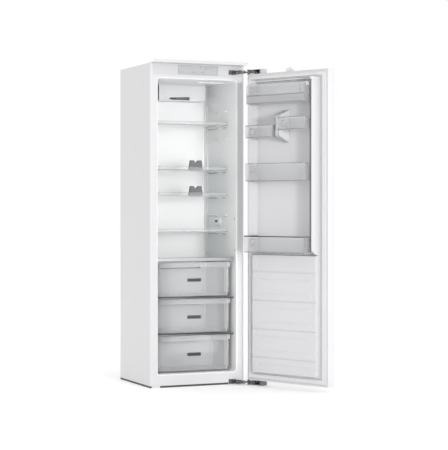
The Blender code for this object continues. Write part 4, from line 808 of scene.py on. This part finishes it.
# %% Compressor tubes
pipe("discharge_tube", [(0.052, 0.212, 0.118), (0.030, 0.219, 0.128), (-0.060, 0.222, 0.140),
                        (-0.160, 0.2235, 0.150), (-0.1915, 0.2255, 0.175),
                        (-0.1925, 0.2259, 0.206)], 0.0024, black_lacquer, "cabinet")
pipe("suction_tube", [(0.052, 0.122, 0.150), (0.030, 0.108, 0.165), (0.000, 0.106, 0.200),
                      (-0.010, 0.106, 0.2655)], 0.0032, copper, "cabinet")
pipe("filling_stub", [(0.150, 0.2125, 0.130), (0.158, 0.2190, 0.133), (0.170, 0.2215, 0.145),
                      (0.174, 0.2215, 0.165)], 0.0030, copper, "cabinet")

# %% [markdown]
# The filter drier is a spun copper cylinder with necked ends. Its outline is turned about its
# axis in one spin, then laid in place. Beside it the capillary is wound in three loops. Known
# fault: the drier leans the wrong way, so its necks miss the ends of both tubes by 14 mm.

# %% Filter drier and capillary
bm = bmesh.new()
outline = [(0.0, -0.052), (0.0022, -0.052), (0.0022, -0.046), (0.0088, -0.036),
           (0.0095, -0.032), (0.0095, 0.032), (0.0088, 0.036), (0.0022, 0.046),
           (0.0022, 0.052), (0.0, 0.052)]
ring = [bm.verts.new((radius, 0, along)) for radius, along in outline]
edges = [bm.edges.new(pair) for pair in zip(ring, ring[1:])]
bmesh.ops.spin(bm, geom=ring + edges, cent=(0, 0, 0), axis=(0, 0, 1), angle=math.tau, steps=28,
               use_merge=True)
bmesh.ops.remove_doubles(bm, verts=list(bm.verts), dist=0.00005)
bmesh.ops.recalc_face_normals(bm, faces=list(bm.faces))
turn = Matrix.Translation((-0.108, 0.2085, 0.1750)) @ Matrix.Rotation(math.radians(82), 4, "Y")
bmesh.ops.transform(bm, matrix=turn, verts=list(bm.verts))
settle(bm, "filter_drier", copper, "cabinet")
pipe("drier_inlet", [(-0.155, 0.2259, 0.2062), (-0.158, 0.2225, 0.190),
                     (-0.163, 0.2110, 0.1845), (-0.1590, 0.2085, 0.1822)],
     0.0022, black_lacquer, "cabinet")
coil_radius, places_per_turn = 0.016, 6
loops = [(-0.0565, 0.2085, 0.1677)]
for index in range(19):
    angle = math.tau * index / places_per_turn
    loops.append((-0.040 + coil_radius * math.sin(angle), 0.205 - index * 0.0022,
                  0.186 - coil_radius * math.cos(angle)))
loops += [(-0.055, 0.130, 0.230), (-0.060, 0.110, 0.2655)]
pipe("capillary", loops, 0.0011, copper, "cabinet", 2)

# %% [markdown]
# Wiring in sleeves runs from the inlet block along the floor of the compartment to the relay
# box, and a thinner lead joins the fan's and the control's wires through the foam.

# %% Wiring
pipe("supply_wires", [(-0.190, 0.2130, 0.026), (-0.165, 0.190, 0.018),
                      (-0.100, 0.175, 0.0155), (-0.045, 0.170, 0.030),
                      (-0.022, 0.168, 0.075), (-0.0180, 0.168, 0.090)],
     0.0034, black_case, "cabinet")
pipe("control_wires", [(-0.0185, 0.150, 0.105), (-0.050, 0.135, 0.130),
                       (-0.110, 0.110, 0.180), (-0.120, 0.104, 0.2655)],
     0.0026, pale_grey, "cabinet")

# %% [markdown]
# A steel spring clip holds the relay box's cover. It is a strip bent over the box's upper edge,
# made of two thin blocks.

# %% Relay box clip
box_low, box_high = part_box("terminal_box")
bm = bmesh.new()
middle_y = (box_low.y + box_high.y) / 2
near_y, far_y, outside = middle_y - 0.004, middle_y + 0.004, box_low.x - 0.0012
block(bm, (outside, near_y, box_low.z + 0.004),
      (box_low.x - 0.0002, far_y, box_high.z + 0.0012), 0.0003)
block(bm, (outside, near_y, box_high.z + 0.0002),
      (box_high.x - 0.004, far_y, box_high.z + 0.0014), 0.0003)
settle(bm, "relay_clip", bright_pin, "cabinet")

# %% [markdown]
# The door's pieces follow, drawn with the door shut. Two helpers take the same distances as
# door_spot, along from the hinge edge, inward towards the food, and height: one makes a block,
# the other a frame of four strips.


# %% Door block helpers
def door_block(bm, along, inward, height, bevel=0.0):
    """Block on the door; each range is a low and a high distance."""
    first = door_spot(along[0], inward[0], height[0])
    last = door_spot(along[1], inward[1], height[1])
    block(bm, Vector(map(min, first, last)), Vector(map(max, first, last)), bevel)


def door_frame(bm, inset, width, inward, bevel):
    """Four strips round the door's inner face."""
    low, high = door_low + inset, door_high - inset
    near, far = inset, door_width - inset
    door_block(bm, (near, near + width), inward, (low, high), bevel)
    door_block(bm, (far - width, far), inward, (low, high), bevel)
    door_block(bm, (near + width, far - width), inward, (low, low + width), bevel)
    door_block(bm, (near + width, far - width), inward, (high - width, high), bevel)


# %% [markdown]
# The gasket is an extrusion with two soft lips beside its hollow bead and a flat fold between
# each lip and the bead. The lips are low, so only the bead meets the cabinet. The folds are
# painted paler than the gasket, painted light that lifts their shade, and along the top run a
# dark strip is painted shadow.

# %% Gasket lips, folds in painted light and a painted shadow line
lip_width, fold_width = 0.0026, 0.0022
bm = bmesh.new()
door_frame(bm, 0.0136, lip_width, (0.0045, 0.0072), 0.0006)
door_frame(bm, 0.0338, lip_width, (0.0045, 0.0070), 0.0006)
settle(bm, "gasket_lips", gasket_soft, "door", True)
# Painted light: paler strips in the folds between lips and bead.
bm = bmesh.new()
door_frame(bm, 0.0164, fold_width, (0.0040, 0.0052), 0.0)
door_frame(bm, 0.0314, fold_width, (0.0040, 0.0052), 0.0)
settle(bm, "gasket_grooves", fold_painted_light, "door", True)
# Painted shadow: a dark strip along the top run.
bm = bmesh.new()
door_block(bm, (0.030, door_width - 0.036), (0.0042, 0.0064), (1.6862, 1.6925), 0.0004)
settle(bm, "gasket_top_shadow_line", mid_grey, "door", True)

# %% [markdown]
# The formed door liner has a row of small upright nubs at the hinge end of its ribs and a
# short tick under each rib's far end, which stiffen the plateau.

# %% Nubs and ticks on the plateau
bm = bmesh.new()
plateau_top, first_drop, nub_pitch = 0.7265, 0.0583, 0.0775
for index in range(8):
    z = plateau_top - first_drop - index * nub_pitch
    door_block(bm, (0.0860, 0.0915), (0.0300, 0.0330), (z - 0.005, z + 0.005), 0.0011)
    door_block(bm, (0.4620, 0.4655), (0.0300, 0.0325), (z - 0.0105, z + 0.0005), 0.0008)
settle(bm, "plateau_nubs", pale_grey, "door", True)

# %% [markdown]
# The fin between the two small racks carries a grey edge strip on both of its flanks. It
# follows the sloping ends and the crest and is painted shade that outlines the fin.

# %% Painted shade along the fin's edges
bm = bmesh.new()
for near, far in ((0.2648, 0.2700), (0.2858, 0.2912)):
    door_block(bm, (near, far), (0.0856, 0.0872), (1.3690, 1.4755), 0.0005)
for foot, crest in ((1.3356, 1.3696), (1.5089, 1.4749)):
    for foot_along, crest_along in ((0.2645, 0.2668), (0.2912, 0.2885)):
        start = door_spot(foot_along, 0.0035, foot)
        bar(bm, start, door_spot(crest_along, 0.0860, crest), 0.0022, 12)
# Painted shade: grey strips outline the fin.
settle(bm, "fin_shade_outline", mid_grey, "door", True)

# %% [markdown]
# A narrow dark strip lies on the crest of the raised wall on the free side, beside the racks'
# ends. It is painted shade and shows as one dark line from the box on top to the bottle rack.

# %% Painted shade on the crest
bm = bmesh.new()
door_block(bm, (0.4870, 0.4990), (0.0674, 0.0690), (0.742, 1.664), 0.0006)
# Painted shade: a dark strip on the crest.
settle(bm, "crest_shade_line", smoke_grey, "door", True)

# %% [markdown]
# Every rack is a clear moulding with a thicker rolled edge along its rim and its foot, which
# looks darker because light runs through the wall's length. The strips follow the front and
# both ends. The bottle rack's rim carries the metal band instead.

# %% Rack edges
# Each row: body, near and far end, reach inward, and the heights of floor and rim.
rack_rows = {
    "left_rack": ("left_tray", 0.0730, 0.2620, 0.112, 1.3605, 1.4277),
    "right_rack": ("right_tray", 0.2940, 0.4840, 0.112, 1.3983, 1.4660),
    "middle_rack": ("middle_tray", 0.0730, 0.4840, 0.112, 1.1244, 1.2210),
    "bottle_rack": ("bottle_tray", 0.0730, 0.4840, 0.124, 0.7380, 0.8230),
    "dairy_rack": ("dairy_box", 0.0730, 0.4840, 0.104, 1.5447, 1.5895),
}


def edge_strip(bm, near, far, reach, low, high):
    """Strip round a rack's front and its two ends."""
    proud, corner = 0.0008, 0.006
    door_block(bm, (near + corner, far - corner), (reach, reach + proud), (low, high), proud * 0.4)
    door_block(bm, (near, near + proud), (0.075, reach - corner), (low, high))
    door_block(bm, (far - proud, far), (0.075, reach - corner), (low, high))


foot_inset = 0.0030
for name, (body, near, far, reach, low, high) in rack_rows.items():
    bm = bmesh.new()
    if name != "bottle_rack":
        edge_strip(bm, near, far, reach, high - 0.0030, high)
    edge_strip(bm, near + foot_inset, far - foot_inset, reach - foot_inset, low + 0.0002,
               low + 0.0036)
    settle(bm, f"{name}_edges", rack_edge, body, True)

# %% [markdown]
# A rack's end has a framed window round the slot by which it hangs. The frame is a raised
# border, made by insetting a plate's face and deleting its middle.


# %% Window frames at the racks' ends
def window_frame(bm, along, thickness, inward, height, border):
    """Plate with its middle cut out by an inset."""
    low = door_spot(along, inward[0], height[0])
    high = door_spot(along + thickness, inward[1], height[1])
    made = bmesh.ops.create_cube(bm, size=1.0)["verts"]
    size = Vector([abs(b - a) for a, b in zip(low, high)])
    bmesh.ops.scale(bm, verts=made, vec=size)
    bmesh.ops.translate(bm, verts=made, vec=(low + high) / 2)
    faces = in_order(side for vert in made for side in vert.link_faces
                     if abs(side.normal.x) > 0.9)
    bmesh.ops.inset_individual(bm, faces=faces, thickness=border, depth=0)
    bmesh.ops.bridge_loops(bm, edges=[edge for side in faces for edge in side.edges])
    bmesh.ops.delete(bm, geom=faces, context="FACES_ONLY")


window_tall, rim_width = 0.0320, 0.0034
for name, (body, near, far, _, _, high) in rack_rows.items():
    bm = bmesh.new()
    top = high - 0.0135
    for along in (near + 0.0024, far - 0.0036):
        window_frame(bm, along, 0.0012, (0.0270, 0.0690), (top - window_tall, top), rim_width)
    settle(bm, f"{name}_windows", rack_edge, body, True)

# %% [markdown]
# The end that looks towards the free side stands proud of the door's raised wall and shows as
# a dark band: its clear wall is seen through its whole length, and the raised wall's shadow
# falls on it. A thin grey plate there paints that band: the dark of the wall seen along its
# length and a painted shadow.

# %% Painted shade on the rack ends
end_tops = {"bottle_rack": 0.8290, "dairy_rack": 1.6300}
for name, (body, _, far, reach, low, high) in rack_rows.items():
    bm = bmesh.new()
    door_block(bm, (far + 0.0001, far + 0.0009), (0.0705, reach - 0.0075),
               (low + 0.002, end_tops.get(name, high)), 0.0002)
    # Painted shade: a grey plate on the free-side end.
    settle(bm, f"{name}_end", rack_end_shade, body, True)

# %% [markdown]
# The dairy box's front is frosted below its lid, the lid carries one upright seam, and round
# caps cover the pins on which it turns.

# %% Dairy box details
bm = bmesh.new()
door_block(bm, (0.080, 0.478), (0.1006, 0.1014), (1.5480, 1.5880))
settle(bm, "dairy_frost", frost_band, "dairy_box", True)
bm = bmesh.new()
door_block(bm, (0.4490, 0.4506), (0.1038, 0.1046), (1.5925, 1.6380))
settle(bm, "lid_seam", rack_edge, "dairy_cover", True)
bm = bmesh.new()
pin_inward, pin_height, cap_radius = 0.053, 1.61737, 0.0085
for along, inner in ((0.0779, 0.0795), (0.4791, 0.4775)):
    bar(bm, door_spot(along, pin_inward, pin_height), door_spot(inner, pin_inward, pin_height),
        cap_radius, 28, 0.0005)
settle(bm, "lid_pin_caps", mid_grey, "dairy_cover", True)

# %% [markdown]
# The two long racks carry a pair of low ribs along their floors, which stiffen the moulding and
# keep bottles from standing in spilt liquid.

# %% Rack floor ribs
for name in ("middle_rack", "bottle_rack"):
    body, near, far, _, low, _ = rack_rows[name]
    bm = bmesh.new()
    for inward in (0.036, 0.072):
        door_block(bm, (near + 0.012, far - 0.012), (inward, inward + 0.0025),
                   (low + 0.0021, low + 0.0042), 0.0005)
    settle(bm, f"{name}_ribs", rack_edge, body, True)

# %% [markdown]
# The bottle rack's metal band ends in dark plastic caps that clip over the rack's ends.

# %% Band end caps
bm = bmesh.new()
for along in (0.0722, 0.4832):
    door_block(bm, (along, along + 0.0016), (0.0750, 0.1150), (0.8225, 0.8295), 0.0004)
settle(bm, "band_caps", dark_grey, "bottle_tray", True)

# %% [markdown]
# The door leaves of the hinges: rivets on the channel's outside, a plastic cover on its solid
# end, upright ribs in the back wall with a gusset beside them, and the round head of the pin
# that holds the closing spring. The same cover is pale above and dark below, painted light
# and shade.


# %% Hinge details on the door
def hinge_height(level, low, high):
    """Heights over the door's top end, or under its bottom end."""
    if level == "upper":
        return door_high + low, door_high + high
    return door_low - high, door_low - low


levels = ("upper", "lower")
inside, channel_top = (0.0030, 0.0232), 0.0262
for level in levels:
    bm = bmesh.new()
    for index in range(7):
        along = 0.0190 + index * 0.0080
        door_block(bm, (along, along + 0.0030), (-0.0476, -0.0464),
                   hinge_height(level, *inside), 0.0004)
    gusset = ((0.0005, -0.0172), (0.0005, -0.0474), (0.0240, -0.0474), (0.0240, -0.0395))
    plate(bm, *([door_spot(*corner, z) for corner in gusset]
                for z in hinge_height(level, 0.0080, 0.0230)))
    settle(bm, f"leaf_ribs_{level}", hinge_steel, "door", True)
    bm = bmesh.new()
    middle = sum(hinge_height(level, *inside)) / 2
    bar(bm, door_spot(0.0275, -0.0464, middle), door_spot(0.0275, -0.0440, middle), 0.0052, 20,
        0.0006)
    settle(bm, f"spring_pin_{level}", bright_pin, "door", True)
    bm = bmesh.new()
    near, corner, far = 0.0790, 0.0962, 0.0978
    shell = hinge_height(level, 0.0012, 0.0268)
    door_block(bm, (near, far), (-0.0120, -0.0108), shell, 0.0003)
    door_block(bm, (corner, far), (-0.0500, -0.0120), shell, 0.0003)
    door_block(bm, (near, corner), (-0.0500, -0.0120), hinge_height(level, 0.0264, 0.0274),
               0.0002)
    # Painted light and shade: the same cover, pale on the upper hinge and dark on the lower.
    cover_light_and_shade = panel_grey if level == "upper" else smoke_grey
    settle(bm, f"leaf_cover_{level}", cover_light_and_shade, "door", True)
    bm = bmesh.new()
    head_z = hinge_height(level, channel_top, channel_top)[0]
    way = (0, 0, 1 if level == "upper" else -1)
    for along, inward, radius, height in ((0.040, -0.0200, 0.0042, 0.0014),
                                          (0.062, -0.0200, 0.0042, 0.0014),
                                          (0.005, -0.004, 0.0058, 0.0013)):
        screw_head(bm, door_spot(along, inward, head_z), way, radius, height)
    settle(bm, f"leaf_rivets_{level}", bright_pin, "door", True)

# %% [markdown]
# On the link, a flat cap closes the cabinet's pin, a thin bar runs along one flank, and a steel
# ring with a short pin through it stands on the same flank. They ride on the link's body.

# %% Hinge details on the link
cabinet_pin = Vector((0.236278, -0.284218, 0))
way = (open_pivot - cabinet_pin).normalized()
side = Vector((way.y, -way.x, 0))
ring_side = side * 0.0080
ring_steps, ring_corners, ring_radius, ring_wire = 32, 10, 0.0074, 0.0021
for level in levels:
    bm = bmesh.new()
    low, high = hinge_height(level, 0.0214, 0.0229)
    bar(bm, (*cabinet_pin.xy, low), (*cabinet_pin.xy, high), 0.0060, 28, 0.0006)
    start = cabinet_pin + way * 0.014 + side * 0.0082
    end = open_pivot - way * 0.012 + side * 0.0066
    middle = sum(hinge_height(level, 0.0095, 0.0149)) / 2
    bar(bm, (*start.xy, middle), (*end.xy, middle), 0.0019, 16, 0.0005)
    settle(bm, f"link_bars_{level}", hinge_steel, "hinge_arm")
    middle = sum(hinge_height(level, 0.0036, 0.0227)) / 2
    centre = cabinet_pin + way * 0.0225 + ring_side + Vector((0, 0, middle))
    bm = bmesh.new()
    rows = []
    for index in range(ring_steps):
        angle = math.tau * index / ring_steps
        out = way * math.cos(angle) + Vector((0, 0, math.sin(angle)))
        turns = [math.tau * corner / ring_corners for corner in range(ring_corners)]
        rows.append([bm.verts.new(centre + out * ring_radius
                                  + (out * math.cos(turn) + side * math.sin(turn)) * ring_wire)
                     for turn in turns])
    for index in range(ring_steps):
        here, there = rows[index], rows[(index + 1) % ring_steps]
        for corner in range(ring_corners):
            after = (corner + 1) % ring_corners
            bm.faces.new((here[corner], there[corner], there[after], here[after]))
    bmesh.ops.recalc_face_normals(bm, faces=list(bm.faces))
    settle(bm, f"link_ring_{level}", hinge_steel, "hinge_arm")
    bm = bmesh.new()
    bar(bm, centre - ring_side * 0.35, centre + ring_side * 0.12, 0.0046, 20, 0.0006)
    settle(bm, f"link_pin_{level}", bright_pin, "hinge_arm")

# %% [markdown]
# The fitting on the door's top end clamps the furniture panel with one bolt, seen from above
# as a hexagon.

# %% Bracket bolt
bm = bmesh.new()
spot = door_spot(0.265, -0.043, 1.7408)
head_top, thread_top = Vector((0, 0, 0.0035)), Vector((0, 0, 0.0065))
bar(bm, spot, spot + head_top, 0.0052, 6, 0.0005)
bar(bm, spot + head_top, spot + thread_top, 0.0028, 16, 0.0004)
settle(bm, "bracket_bolt", bright_pin, "door", True)
